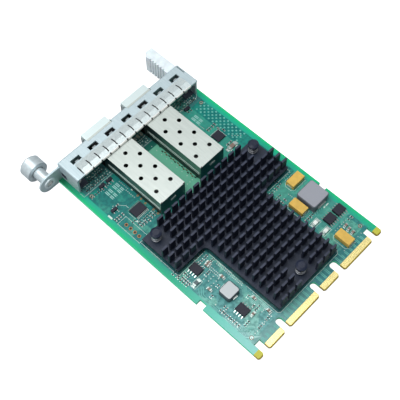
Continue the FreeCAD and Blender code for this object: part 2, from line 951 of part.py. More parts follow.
def cage_tray(side):
    """Bottom half of the cage with its press-in pins."""
    tray = Body(f"port_cage_tray_{side}")
    half = size.cage_width / 2
    wall = size.cage_wall
    section = polygon(
        (-half, 0.0),
        (half, 0.0),
        (half, size.cage_seam),
        (half - wall, size.cage_seam),
        (half - wall, wall),
        (wall - half, wall),
        (wall - half, size.cage_seam),
        (-half, size.cage_seam),
    )
    tray.pad("XZ_Plane", cage_rear, [section], size.cage_length)
    tray.pad("XZ_Plane", cage_rear, [rectangle(wall - half, wall, half - wall, size.cage_seam)], wall)
    pin_depth = size.board_thickness + size.cage_pin_tip
    pins = [
        centred_rectangle(offset, cage_pin_start, wall, size.cage_pin_width)
        for offset in (cage_pin_offset, -cage_pin_offset)
    ]
    pads = tray.pad("XY_Plane", -pin_depth, pins, pin_depth)
    tray.repeat([pads], "Y_Axis", size.cage_pin_pitch, cage_pin_rows())
    return place(tray.body, cage_centres[side])


def port_socket(side):
    """Edge connector at the back of a cage, with the slot that takes the module's tongue."""
    socket = Body(f"port_socket_{side}")
    half = size.socket_width / 2
    rear = cage_rear + size.socket_setback
    front = rear + size.socket_length
    bottom = size.cage_wall + size.package_standoff
    section = polygon(
        (rear, bottom),
        (front - size.socket_toe_depth, bottom),
        (front, bottom + size.socket_toe_rise),
        (front, size.socket_height),
        (rear + size.socket_shoulder, size.socket_height),
        (rear, size.socket_height - size.socket_shoulder),
    )
    socket.pad("YZ_Plane", -half, [section], size.socket_width)
    slot_half = size.socket_slot_width / 2
    slot_top = size.socket_slot_rise + size.socket_slot_height
    mouth = rectangle(-slot_half, size.socket_slot_rise, slot_half, slot_top)
    socket.pocket("XZ_Plane", front - size.socket_slot_depth, [mouth], size.socket_slot_depth)
    return place(socket.body, cage_centres[side])


def port_springs(side):
    """Sprung grounding collar round the cage mouth, flared back towards the faceplate."""
    springs = Body(f"port_springs_{side}")
    inner = size.cage_width / 2 + size.spring_clearance
    sheet_size = size.spring_sheet
    flare = size.spring_flare
    collar_rear = cage_front - size.spring_collar_length
    finger_end = collar_rear - size.spring_length
    bottom = size.spring_rise
    count = count_of(size.spring_finger_count)
    pitch = size.spring_finger_height + size.spring_finger_gap
    height = pitch * count - size.spring_finger_gap
    for sign in (-1, 1):
        section = polygon(
            (inner * sign, cage_front),
            (inner * sign, collar_rear),
            ((inner + flare) * sign, finger_end),
            ((inner + flare + sheet_size) * sign, finger_end),
            ((inner + sheet_size) * sign, collar_rear),
            ((inner + sheet_size) * sign, cage_front),
        )
        springs.pad("XY_Plane", bottom, [section], height)
    reach = inner + flare + OVERCUT
    slots = []
    for index in range(1, count):
        high = bottom + pitch * index
        slots.append(rectangle(finger_end - OVERCUT, high - size.spring_finger_gap, collar_rear, high))
    springs.pocket("YZ_Plane", -reach, slots, reach * 2)
    return place(springs.body, cage_centres[side])


# ---------------------------------------------------------------------------------------------
# Faceplate bracket, spring fingers and their screws
# ---------------------------------------------------------------------------------------------


def clip_slot_centres():
    count = count_of(size.clip_slot_count)
    first = -size.clip_slot_pitch * (count - 1) / 2
    return [first + size.clip_slot_pitch * index for index in range(count)]


def faceplate_bracket():
    """One folded sheet: faceplate, top flange, side flanges with feet, and the ear."""
    bracket = Body("faceplate_bracket")
    half = bracket_half
    thick = size.sheet
    section = polygon(
        (face_back, rest_level),
        (face_front, rest_level),
        (face_front, bracket_top),
        (flange_rear, bracket_top),
        (flange_rear, flange_under),
        (face_back, flange_under),
    )
    bracket.pad("YZ_Plane", -half, [section], half * 2)
    side_rear = flange_rear + size.side_flange_setback
    flank = rectangle(side_rear, size.seat_gap, face_back, flange_under)
    bracket.pad("YZ_Plane", -half, [flank], thick)
    bracket.pad("YZ_Plane", half - thick, [flank], thick)
    feet = []
    for x, y in foot_places.values():
        feet.append(centred_rectangle(x, y, size.foot_width, size.foot_length))
    bracket.pad("XY_Plane", size.seat_gap, feet, thick)

    ear = size.ear_radius
    ear_top = screw_z + ear
    plate = rectangle(screw_x - ear, screw_z - ear, -half, ear_top)
    bracket.pad("XZ_Plane", face_back, [plate], thick)

    def is_ear_corner(edge):
        return is_along_y(edge) and near(edge.BoundBox.XMin, screw_x - ear)

    bracket.dress("Fillet", is_ear_corner, ear - FILLET_SLACK)

    def is_top_bend(edge):
        at_front = near(edge.BoundBox.YMin, face_front) and near(edge.BoundBox.ZMin, bracket_top)
        return is_along_x(edge) and at_front

    def is_side_bend(edge):
        at_side = near(abs(edge.BoundBox.XMin), half)
        return is_along_y(edge) and at_side and near(edge.BoundBox.ZMin, bracket_top)

    def is_bend(edge):
        return is_top_bend(edge) or is_side_bend(edge)

    bracket.dress("Fillet", is_bend, size.bend_radius)

    ports = []
    mouth_top = bracket_top + OVERCUT
    mouth_rear = face_back - size.mouth_notch_depth
    for middle in cage_centres.values():
        ports.append(rectangle(middle - port_half, -size.mouth_drop, middle + port_half, mouth_top))
    bracket.pocket("XZ_Plane", mouth_rear, ports, face_front - mouth_rear + OVERCUT)

    slots = []
    for x in clip_slot_centres():
        slot_y = face_front - size.clip_slot_setback - size.clip_slot_depth / 2
        slots.append(centred_rectangle(x, slot_y, size.clip_slot_width, size.clip_slot_depth))
    relief_right = half - thick
    relief_left = relief_right - size.relief_width
    relief_rear = face_front - size.relief_length
    slots.append(rectangle(relief_left, relief_rear, relief_right, face_back))
    bracket.pocket("XY_Plane", flange_under, slots, thick)

    holes = [circle(screw_x, screw_z, size.ferrule_neck_radius)]
    holes += [plain_hole(tab_screw_x, z, size.tab_screw_radius) for z in tab_screw_heights]
    bracket.pocket("XZ_Plane", face_back, holes, thick)
    bores = [plain_hole(x, y, size.bracket_screw_radius) for x, y in foot_places.values()]
    bracket.pocket("XY_Plane", size.seat_gap, bores, thick)
    side_slot_front = face_back - size.side_slot_setback
    side_slot_top = size.side_slot_rise + size.side_slot_height
    side_slot = rectangle(
        side_slot_front - size.side_slot_length, size.side_slot_rise, side_slot_front, side_slot_top
    )
    bracket.pocket("YZ_Plane", -half, [side_slot], thick)
    return bracket.body


def bracket_screws():
    """Two screws from under the board into the bracket's feet."""
    screws = []
    shank_end = size.seat_gap + size.sheet + size.bracket_screw_end
    head_height = size.bracket_screw_head_height
    head = circle(0.0, 0.0, size.bracket_screw_head_radius)
    shank = plain_rod(size.bracket_screw_radius)
    for side, (x, y) in foot_places.items():
        screw = Body(f"bracket_screw_{side}")
        screw.pad("XY_Plane", board_bottom - head_height, [head], head_height)
        screw.pad("XY_Plane", board_bottom, [shank], shank_end - board_bottom)
        screws.append(place(screw.body, x, y))
    return group("bracket_screws", screws)


def spring_finger_strip():
    """Bowed contact fingers clipped over the bracket's top flange."""
    strip = Body("spring_finger_strip")
    count = count_of(size.finger_count)
    width = size.finger_pitch * count - size.finger_gap
    thick = size.finger_sheet
    crest_y = flange_rear + size.finger_crest_setback
    front_y = flange_rear + size.finger_strip_depth
    base = bracket_top + size.seat_gap
    crest = bracket_top + size.finger_rise
    shoulder = base + size.finger_shoulder
    lip_y = flange_rear - size.finger_wrap
    lip_low = flange_under + size.finger_lip_rise
    section = polygon(
        (front_y, base),
        (front_y, base + thick),
        (crest_y, crest),
        (flange_rear, shoulder),
        (lip_y, base),
        (lip_y, lip_low),
        (lip_y + thick, lip_low),
        (lip_y + thick, base - thick / 2),
        (flange_rear, shoulder - thick),
        (crest_y, crest - thick),
    )
    strip.pad("YZ_Plane", -width / 2, [section], width)
    gap_left = size.finger_pitch - size.finger_gap - width / 2
    gap_low = flange_rear + size.finger_gap_start
    gap_high = front_y - size.finger_gap_end
    gap = rectangle(gap_left, gap_low, gap_left + size.finger_gap, gap_high)
    slit = strip.pocket("XY_Plane", flange_under, [gap], size.sheet + size.finger_rise + OVERCUT)
    strip.repeat([slit], "X_Axis", size.finger_pitch, count - 1)
    return strip.body


def finger_clips():
    """Retaining tongues of the finger strip, bent down through the bracket's slots."""
    clips = []
    slot_rear = face_front - size.clip_slot_setback - size.clip_slot_depth
    middle = slot_rear + size.clip_tongue_depth / 2
    for index, x in enumerate(clip_slot_centres()):
        clips.append(block_at(f"finger_clip_{index}", x, middle, flange_under,
                              size.clip_tongue_width, size.clip_tongue_depth, size.clip_tongue_height))
    return group("finger_clips", clips)


# ---------------------------------------------------------------------------------------------
# Captive thumbscrew in the ear
# ---------------------------------------------------------------------------------------------


def on_screw_axis(body, y):
    """Lays a body turned about its local Z along +Y, on the thumbscrew's axis."""
    return place(body, screw_x, y, screw_z, ALONG_Y)


# distances along the screw are counted from the ear's back face
lip_bore = size.thumbscrew_shank_radius + size.thumbscrew_clearance
thread_bore = size.thumbscrew_radius + size.thumbscrew_clearance
spring_chamber = size.ferrule_radius - size.ferrule_wall
knob_bore = size.ferrule_radius + size.knob_bore_clearance
thread_tip = size.thumbscrew_tip_setback - size.swage_thickness
thread_end = thread_tip + size.thumbscrew_thread_length
lip_start = thread_end + size.thread_gap
chamber_floor = lip_start + size.ferrule_lip


def thumbscrew_ferrule():
    """Swaged bush: local z = 0 is the back face of the ear."""
    ferrule = Body("thumbscrew_ferrule")
    length = size.sheet + size.ferrule_length
    ferrule.revolve([
        polygon(
            (thread_bore, -size.swage_thickness),
            (thread_bore, lip_start),
            (lip_bore, lip_start),
            (lip_bore, chamber_floor),
            (spring_chamber, chamber_floor),
            (spring_chamber, length),
            (size.ferrule_radius, length),
            (size.ferrule_radius, size.sheet),
            (size.ferrule_neck_radius, size.sheet),
            (size.ferrule_neck_radius, 0.0),
            (size.swage_radius, 0.0),
            (size.swage_radius - size.swage_draft, -size.swage_thickness),
        )
    ])
    return on_screw_axis(ferrule.body, face_back)


def thumbscrew_shaft():
    """Screw with a reduced shank, so that its thread cannot leave the ferrule."""
    shaft = Body("thumbscrew_shaft")
    knob_face = size.sheet + size.ferrule_length + size.knob_length
    shank_end = knob_face - size.shank_end_setback
    shaft.revolve([
        polygon(
            (0.0, thread_tip),
            (size.thumbscrew_radius - size.thread_chamfer, thread_tip),
            (size.thumbscrew_radius, thread_tip + size.thread_chamfer),
            (size.thumbscrew_radius, thread_end),
            (size.thumbscrew_shank_radius, thread_end),
            (size.thumbscrew_shank_radius, shank_end),
            (0.0, shank_end),
        )
    ])
    return on_screw_axis(shaft.body, face_back)


def thumbscrew_knob():
    """Turned knob, hollow behind so that it slides over the ferrule."""
    knob = Body("thumbscrew_knob")
    radius = size.knob_radius
    length = size.knob_length
    bevel = size.knob_chamfer
    crown_floor = length - size.knob_crown
    knob.revolve([
        polygon(
            (size.thumbscrew_shank_radius, crown_floor),
            (knob_bore, crown_floor),
            (knob_bore, 0.0),
            (radius, 0.0),
            (radius, length - bevel),
            (radius - bevel, length),
            (size.thumbscrew_shank_radius, length),
        )
    ])
    return on_screw_axis(knob.body, ferrule_end)


def thumbscrew_spring():
    start = face_back + chamber_floor + size.spring_seat_gap
    end = ferrule_end + size.knob_length - size.knob_crown - size.spring_seat_gap
    mean = (spring_chamber + size.thumbscrew_shank_radius) / 2
    turns = count_of(size.release_spring_turns)
    return coil("thumbscrew_spring", screw_x, start, screw_z, mean,
                size.release_spring_wire, end - start, turns, ALONG_Y)


# ---------------------------------------------------------------------------------------------
# Pull tab
# ---------------------------------------------------------------------------------------------


def pull_tab():
    tab = Body("pull_tab")
    tab_front = face_front + size.tab_length
    outline = polygon(
        (tab_left, face_front),
        (tab_right, face_front),
        (tab_right, tab_front),
        (tab_left + size.tab_corner, tab_front),
        (tab_left, tab_front - size.tab_corner),
    )
    tab.pad("XY_Plane", tab_bottom, [outline], size.tab_height)
    count = count_of(size.tab_groove_count)
    groove_y = tab_front - size.tab_groove_setback - size.tab_groove_pitch * (count - 1)
    half = size.tab_groove_width / 2
    floor_x = tab_left + size.tab_groove_depth
    groove = polygon(
        (tab_left - size.seat_gap, groove_y - half),
        (floor_x, groove_y - half / 2),
        (floor_x, groove_y + half / 2),
        (tab_left - size.seat_gap, groove_y + half),
    )
    cut = tab.pocket("XY_Plane", tab_bottom, [groove], size.tab_height)
    tab.repeat([cut], "Y_Axis", size.tab_groove_pitch, count)
    pilots = [plain_hole(tab_screw_x, z, size.tab_screw_radius) for z in tab_screw_heights]
    tab.pocket("XZ_Plane", face_front, pilots, size.tab_pilot_depth)
    return tab.body


def pull_tab_screws():
    """Two screws from behind the faceplate into the tab."""
    screws = []
    head = circle(0.0, 0.0, size.tab_screw_head_radius)
    shank = plain_rod(size.tab_screw_radius)
    for index, z in enumerate(tab_screw_heights, start=1):
        screw = Body(f"pull_tab_screw_{index}")
        screw.pad("XY_Plane", -size.tab_screw_head_height, [head], size.tab_screw_head_height)
        screw.pad("XY_Plane", 0.0, [shank], size.sheet + size.tab_screw_depth)
        screws.append(place(screw.body, tab_screw_x, face_back, z, ALONG_Y))
    return group("pull_tab_screws", screws)


# ---------------------------------------------------------------------------------------------
# Parts soldered to the board
# ---------------------------------------------------------------------------------------------


def inductor(label, x, y, length, width, height):
    """Moulded power inductor: a block with rounded upright corners."""
    core = Body(label)
    base = size.package_standoff
    core.pad("XY_Plane", base, [centred_rectangle(0.0, 0.0, width, length)], height - base)
    core.dress("Fillet", is_vertical, size.inductor_corner)

    def is_top(edge):
        return near(edge.BoundBox.ZMin, height) and near(edge.BoundBox.ZMax, height)

    core.dress("Chamfer", is_top, size.inductor_chamfer)
    return place(core.body, x, y)


def end_terminals(label, x, y, length, width, reach, height, along_y=True):
    """Solder terminals folded against the two ends of a part."""
    pair = []
    for index, sign in enumerate((-1, 1)):
        offset = (length / 2 + reach / 2) * sign
        centre = (x, y + offset) if along_y else (x + offset, y)
        span = (width, reach) if along_y else (reach, width)
        pair.append(block_at(f"{label}_{index}", centre[0], centre[1], 0.0, span[0], span[1], height))
    return pair


INDUCTOR_PLACES = {"large_inductor": (29.9, 30.9), "small_inductor": (-25.8, 27.0)}


def inductors():
    large = INDUCTOR_PLACES["large_inductor"]
    small = INDUCTOR_PLACES["small_inductor"]
    terminals = end_terminals("large_terminal", large[0], large[1], size.large_inductor_side,
                              size.terminal_width * 2, size.terminal_reach, size.terminal_height)
    terminals += end_terminals("small_terminal", small[0], small[1], size.small_inductor_length,
                               size.terminal_width, size.terminal_reach, size.terminal_height)
    return [
        inductor("large_inductor", *large, size.large_inductor_side, size.large_inductor_side,
                 size.large_inductor_height),
        inductor("small_inductor", *small, size.small_inductor_length, size.small_inductor_width,
                 size.small_inductor_height),
        group("inductor_terminals", terminals),
    ]


# centre x, centre y, and whether the part lies along Y
TANTALUM_PLACES = ((31.0, 41.3, False), (22.0, 31.9, True), (24.0, 8.9, True))


def tantalum(index, x, y, along_y):
    """Moulded block, widest at the mould line half way up."""
    case = Body(f"tantalum_{index}")
    base = size.package_standoff
    half_width = size.tantalum_width / 2
    half_length = size.tantalum_length / 2
    mid = (base + size.tantalum_height) / 2
    draft = size.mould_draft
    section = polygon(
        (-half_width + draft, base),
        (half_width - draft, base),
        (half_width, mid),
        (half_width - draft, size.tantalum_height),
        (-half_width + draft, size.tantalum_height),
        (-half_width, mid),
    )
    case.pad("XZ_Plane", -half_length, [section], size.tantalum_length)
    turn = Rotation(Vector(0, 0, 1), 0 if along_y else 90)
    return place(case.body, x, y, 0.0, turn)


def tantalums():
    cases = []
    leads = []
    for index, (x, y, along_y) in enumerate(TANTALUM_PLACES, start=1):
        cases.append(tantalum(index, x, y, along_y))
        leads += end_terminals(f"tantalum_lead_{index}", x, y, size.tantalum_length,
                               size.tantalum_lead_width, size.lead_thickness, size.terminal_height, along_y)
    return [group("tantalum_capacitors", cases), group("tantalum_leads", leads)]


def package(label, x, y, width, length, height):
    """Moulded chip package, width across X and length along Y, widest at its mould line."""
    case = Body(label)
    base = size.package_standoff
    half = width / 2
    mid = (base + height) / 2
    draft = size.mould_draft
    section = polygon(
        (draft - half, base),
        (half - draft, base),
        (half, mid),
        (half - draft, height),
        (draft - half, height),
        (-half, mid),
    )
    case.pad("XZ_Plane", -length / 2, [section], length)
    return place(case.body, x, y)


def lead_row(label, x, y, body_half, pitch, count, width, turn):
    """A row of gull-wing leads standing off one side of a package."""
    row = Body(label)
    thick = size.lead_thickness
    foot_end = body_half + size.lead_reach
    section = polygon(
        (body_half, size.lead_height),
        (foot_end, thick),
        (foot_end, 0.0),
        (body_half, size.lead_height - thick * 2),
    )
    # the section lies in YZ, so the row runs along X and the leads point towards +Y
    start = -pitch * (count - 1) / 2 - width / 2
    lead = row.pad("YZ_Plane", start, [section], width)
    row.repeat([lead], "X_Axis", pitch, count)
    return place(row.body, x, y, 0.0, Rotation(Vector(0, 0, 1), turn))


def lead_rows(label, x, y, body_half, pitch, count, width, turns):
    return [lead_row(f"{label}_{turn}", x, y, body_half, pitch, count, width, turn) for turn in turns]


POWER_SWITCH_PLACES = ((27.2, 19.0), (33.0, 19.0))
SMALL_OUTLINE_PLACES = {"flash_memory": (-27.6, 18.1), "power_monitor": (-27.6, 43.4)}
# x, and distance in front of the cages' rear
EXPANDER_PLACE = (-24.6, 8.8)
CLOCK_PLACE = (25.4, 9.8)


def chips():
    long_side = size.small_outline_length
    short_side = size.small_outline_width
    height = size.small_outline_height
    pitch = size.small_outline_pitch
    row = count_of(size.small_outline_row)
    lead_width = size.small_outline_lead_width
    switches = []
    leads = []
    for index, (x, y) in enumerate(POWER_SWITCH_PLACES):
        switches.append(package(f"power_switch_{index}", x, y, long_side, short_side, height))
        leads += lead_rows(f"power_switch_leads_{index}", x, y, short_side / 2, pitch, row, lead_width,
                           (0, 180))
    nodes = [group("power_switches", switches)]
    for label, (x, y) in SMALL_OUTLINE_PLACES.items():
        nodes.append(package(label, x, y, short_side, long_side, height))
        leads += lead_rows(f"{label}_leads", x, y, short_side / 2, pitch, row, lead_width, (90, -90))

    expander_x, setback = EXPANDER_PLACE
    expander_y = cage_rear + setback
    nodes.append(package("port_expander", expander_x, expander_y, size.thin_package_length,
                         size.thin_package_width, size.thin_package_height))
    leads += lead_rows("port_expander_leads", expander_x, expander_y, size.thin_package_width / 2,
                       size.thin_package_pitch, count_of(size.thin_package_row),
                       size.thin_package_lead_width, (0, 180))
    clock_x, setback = CLOCK_PLACE
    nodes.append(block_at("clock_chip", clock_x, cage_rear + setback, size.seat_gap,
                          size.clock_chip_side, size.clock_chip_side, size.clock_chip_height))
    nodes.append(group("chip_leads", leads))
    return nodes


# Small chip parts: x, y, and whether the part lies along Y. Rear parts are placed from the card
# edge, front parts from the cages' rear.
CERAMIC_BLOCKS = ((21.7, 22.3, False), (21.8, 16.8, False), (-31.8, 39.2, False))
REAR_CAPACITORS = (
    (29.4, 12.4, False), (29.0, 10.4, False), (28.9, 8.3, False), (-20.7, 10.5, True),
    (-22.7, 33.6, True), (-30.2, 33.6, True), (-20.7, 18.3, True), (-26.0, 14.0, False),
    (-23.2, 41.6, True), (-21.9, 41.8, True),
)
FRONT_CAPACITORS = ((25.8, 1.9, False),)
REAR_RESISTORS = (
    (-33.4, 23.2, False), (-33.4, 19.7, False), (-33.4, 17.6, False), (-33.4, 16.3, False),
    (-33.4, 14.9, False), (-33.9, 44.7, False), (-33.9, 43.5, False), (-33.9, 42.3, False),
    (-33.9, 41.1, False), (-34.6, 46.6, False), (-31.9, 45.6, False), (-23.2, 16.3, False),
    (19.8, 25.6, True), (21.2, 25.6, True), (22.6, 25.6, True), (19.6, 38.6, True),
    (21.4, 38.6, True), (22.6, 44.9, True), (24.2, 44.9, True), (34.4, 13.2, True),
)
FRONT_RESISTORS = (
    (-28.9, 2.6, True), (-27.6, 2.6, True), (-26.2, 2.6, True), (-24.7, 2.0, True),
    (-23.0, 2.6, True), (-21.5, 2.6, True), (-34.4, 12.2, True), (-33.1, 12.2, True),
    (-31.8, 12.2, True), (-30.3, 12.2, True), (-29.0, 17.0, False), (24.7, 15.4, True),
    (26.0, 15.4, True), (27.5, 15.4, True), (29.0, 15.5, True), (28.5, 12.8, True),
    (29.6, 10.5, True), (25.3, 4.0, False), (27.0, 4.0, False),
)
# small three-lead parts: x, and distance in front of the cages' rear
TRANSISTOR_PLACES = ((-31.6, 16.1), (-27.2, 28.3), (-23.1, 28.3), (26.4, 29.9))
LED_PLACES = (-3.2, -1.2, 0.8, 2.8)


def chip_parts(label, places, part_size, from_y):
    length, width, height = part_size
    parts = []
    for index, (x, y, along_y) in enumerate(places):
        span = (width, length) if along_y else (length, width)
        parts.append(block_at(f"{label}_{index}", x, from_y + y, 0.0, span[0], span[1], height))
    return parts


def transistor(index, x, y):
    """Small three-lead package, two leads behind and one in front."""
    case = block_at(f"transistor_{index}", x, y, size.package_standoff, size.transistor_length,
                    size.transistor_width, size.transistor_height)
    reach = (size.transistor_width + size.transistor_lead_length) / 2
    half_pitch = size.transistor_lead_pitch / 2
    leads = []
    for number, (lead_x, lead_y) in enumerate(((x - half_pitch, y - reach), (x + half_pitch, y - reach),
                                               (x, y + reach))):
        leads.append(block_at(f"transistor_lead_{index}_{number}", lead_x, lead_y, 0.0,
                              size.transistor_lead_width, size.transistor_lead_length,
                              size.transistor_lead_height))
    return case, leads


def small_parts():
    capacitor = (size.capacitor_length, size.capacitor_width, size.capacitor_height)
    long_capacitor = (size.long_capacitor_length, size.long_capacitor_width, size.long_capacitor_height)
    resistor = (size.resistor_length, size.resistor_width, size.resistor_height)
    block = (size.ceramic_block_length, size.ceramic_block_width, size.ceramic_block_height)
    capacitors = chip_parts("rear_capacitor", REAR_CAPACITORS, capacitor, 0.0)
    capacitors += chip_parts("front_capacitor", FRONT_CAPACITORS, long_capacitor, cage_rear)
    resistors = chip_parts("rear_resistor", REAR_RESISTORS, resistor, 0.0)
    resistors += chip_parts("front_resistor", FRONT_RESISTORS, resistor, cage_rear)
    cases, leads = [], []
    for index, (x, setback) in enumerate(TRANSISTOR_PLACES):
        case, its_leads = transistor(index, x, cage_rear + setback)
        cases.append(case)
        leads += its_leads
    leds = [
        block_at(f"led_{index}", x, board_front - size.led_setback, 0.0,
                 size.led_width, size.led_length, size.led_height)
        for index, x in enumerate(LED_PLACES)
    ]
    return [
        group("ceramic_blocks", chip_parts("ceramic_block", CERAMIC_BLOCKS, block, 0.0)),
        group("chip_capacitors", capacitors),
        group("chip_resistors", resistors),
        group("small_transistors", cases),
        group("transistor_leads", leads),
        group("status_leds", leds),
    ]


def back_capacitors():
    """Decoupling parts on the board's back, in a grid under the controller chip."""
    grid = Body("back_capacitors")
    width = size.back_capacitor_width
    columns = count_of(size.back_capacitor_columns)
    rows = count_of(size.back_capacitor_rows)
    first_x = size.sink_shift - size.back_capacitor_pitch * (columns - 1) / 2
    first_y = size.chip_centre - size.back_capacitor_row_pitch * (rows - 1) / 2
    outline = centred_rectangle(first_x, first_y, width, size.back_capacitor_length)
    pad = grid.pad("XY_Plane", board_bottom - width, [outline], width)
    row = grid.repeat([pad], "X_Axis", size.back_capacitor_pitch, columns)
    row.Direction2 = (grid.role("Y_Axis"), [""])
    row.Mode2 = "Spacing"
    bind(row, "Offset2", size.back_capacitor_row_pitch)
    row.Occurrences2 = rows
    return grid.body


# ---------------------------------------------------------------------------------------------
# Build, check and export
# ---------------------------------------------------------------------------------------------


def build():
    nodes = [
        circuit_board(),
        card_edge_contacts("edge_contacts_top", 0.0),
        card_edge_contacts("edge_contacts_bottom", board_bottom - size.contact_plating),
        heat_sink(),
        controller_chip(),
        thermal_pad(),
        faceplate_bracket(),
        bracket_screws(),
        spring_finger_strip(),
        finger_clips(),
        thumbscrew_ferrule(),
        thumbscrew_shaft(),
        thumbscrew_knob(),
        thumbscrew_spring(),
        pull_tab(),
        pull_tab_screws(),
        back_capacitors(),
    ]
    nodes += sink_fasteners()
    for side in cage_centres:
        nodes += [cage_cover(side), cage_tray(side), port_socket(side), port_springs(side)]
    nodes += inductors() + tantalums() + chips() + small_parts()
    return nodes


def check(nodes):
    doc.recompute()
    for item in doc.Objects:
        if "Invalid" in item.State or "Error" in item.State:
            raise ValueError(f"{item.Label} failed: {item.State}")
    for node in nodes:
        if node.Shape.isNull() or not node.Shape.isValid() or not node.Shape.Solids:
            raise ValueError(f"{node.Label} has no valid solid")


def export(nodes):
    os.makedirs("parts", exist_ok=True)
    for node in nodes:
        node.Shape.exportStep(f"parts/{node.Label}.step")
        print(f"{node.Label:28s} {len(node.Shape.Solids):4d} solids {node.Shape.Volume:10.2f} mm3")


sub_parts = build()
check(sub_parts)
export(sub_parts)
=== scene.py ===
import json
import math
import random

import bmesh
import bpy
from mathutils import Matrix, Vector


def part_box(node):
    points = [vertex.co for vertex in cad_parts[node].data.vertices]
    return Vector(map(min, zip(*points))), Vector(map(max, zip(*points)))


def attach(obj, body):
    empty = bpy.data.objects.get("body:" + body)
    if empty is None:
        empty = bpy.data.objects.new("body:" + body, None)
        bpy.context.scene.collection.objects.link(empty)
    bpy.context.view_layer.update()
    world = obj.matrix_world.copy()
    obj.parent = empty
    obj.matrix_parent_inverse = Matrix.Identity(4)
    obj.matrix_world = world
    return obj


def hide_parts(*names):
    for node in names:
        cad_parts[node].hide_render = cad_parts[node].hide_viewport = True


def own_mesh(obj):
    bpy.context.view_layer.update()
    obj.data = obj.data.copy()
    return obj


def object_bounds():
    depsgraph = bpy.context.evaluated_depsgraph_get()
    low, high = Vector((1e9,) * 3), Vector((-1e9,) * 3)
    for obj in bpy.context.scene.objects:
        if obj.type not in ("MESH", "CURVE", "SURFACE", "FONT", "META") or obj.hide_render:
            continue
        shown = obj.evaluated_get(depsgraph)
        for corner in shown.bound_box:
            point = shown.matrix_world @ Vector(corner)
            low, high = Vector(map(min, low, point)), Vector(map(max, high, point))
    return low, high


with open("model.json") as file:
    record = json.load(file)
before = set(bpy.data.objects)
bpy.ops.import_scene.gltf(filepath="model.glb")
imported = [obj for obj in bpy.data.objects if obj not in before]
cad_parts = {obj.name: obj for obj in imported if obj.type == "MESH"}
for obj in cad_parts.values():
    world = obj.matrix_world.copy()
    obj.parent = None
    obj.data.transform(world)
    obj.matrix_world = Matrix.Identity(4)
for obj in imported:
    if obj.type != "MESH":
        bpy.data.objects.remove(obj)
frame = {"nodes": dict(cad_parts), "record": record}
cad_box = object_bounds()
MM = 0.001
CARD = "card"
# The one source of random numbers, so that each run gives the same pieces.
RNG = random.Random(76115)

# ---------- Landmarks on the card ----------

BOARD_LOW, BOARD_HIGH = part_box("circuit_board")
SINK_LOW, SINK_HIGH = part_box("heat_sink")
STRIP_LOW, STRIP_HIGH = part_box("spring_finger_strip")
BRACKET_LOW, BRACKET_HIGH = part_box("faceplate_bracket")
CAGES = [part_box(f"port_cage_cover_{side}") for side in ("left", "right")]
TOP = BOARD_HIGH.z
FLANGE_REAR = BRACKET_LOW.y
BRACKET_FRONT = BRACKET_HIGH.y
CAGE_REAR = CAGES[0][0].y
# The board shows between the cages from LANE_LEFT to LANE_RIGHT.
LANE_LEFT = CAGES[0][1].x
LANE_RIGHT = CAGES[1][0].x

# Widths of what the solder mask leaves open: rims, guide rails and the edge with the contacts.
RIM_WIDTH = 2.9 * MM
RAIL_WIDTH = 3.1 * MM
BARE_DEPTH = 2.9 * MM
# The bracket's flanks stand in from the board's sides. SKIN keeps a limit clear of a face.
BRACKET_INSET = 2.2 * MM
BRACKET_SHEET = 0.8 * MM
SKIN = 0.05 * MM
FLANK_OUTER = BOARD_HIGH.x - BRACKET_INSET
FLANK_INNER = FLANK_OUTER - BRACKET_SHEET - SKIN
FLANGE_UNDER = STRIP_LOW.z - 0.2 * MM
# Round the slot in the left flank: reach behind the bracket's face, lower and upper limit.
SLOT_REACH = 4.8 * MM
SLOT_FOOT = 1.0 * MM
SLOT_HEAD = 4.6 * MM
# A little less than the cages' walls, so that their inner faces count as inside.
CAGE_SKIN = 0.2 * MM
# The heat sink is a stem with a wing on either side of its front part.
SINK_MIDDLE = (SINK_LOW.x + SINK_HIGH.x) / 2
STEM_HALF = 17.7 * MM
STEM_LEFT = SINK_MIDDLE - STEM_HALF
STEM_RIGHT = SINK_MIDDLE + STEM_HALF
WINGS_REAR = SINK_HIGH.y - 20.7 * MM
# Farther than any point of the card.
FAR = 1.0


# ---------- Materials ----------


def linear(rgb):
    """sRGB 0-255 to a linear colour with alpha."""
    parts = []
    for channel in rgb:
        value = channel / 255
        parts.append(value / 12.92 if value <= 0.04045 else ((value + 0.055) / 1.055) ** 2.4)
    return (*parts, 1.0)


def paint(value):
    """Linear colour from an sRGB triple, a linear colour or a grey level."""
    if isinstance(value, tuple):
        return linear(value) if len(value) == 3 else value
    return (value, value, value, 1.0)


# Stretch of the noise on brushed sheet.
BRUSHED = (30, 1, 1)


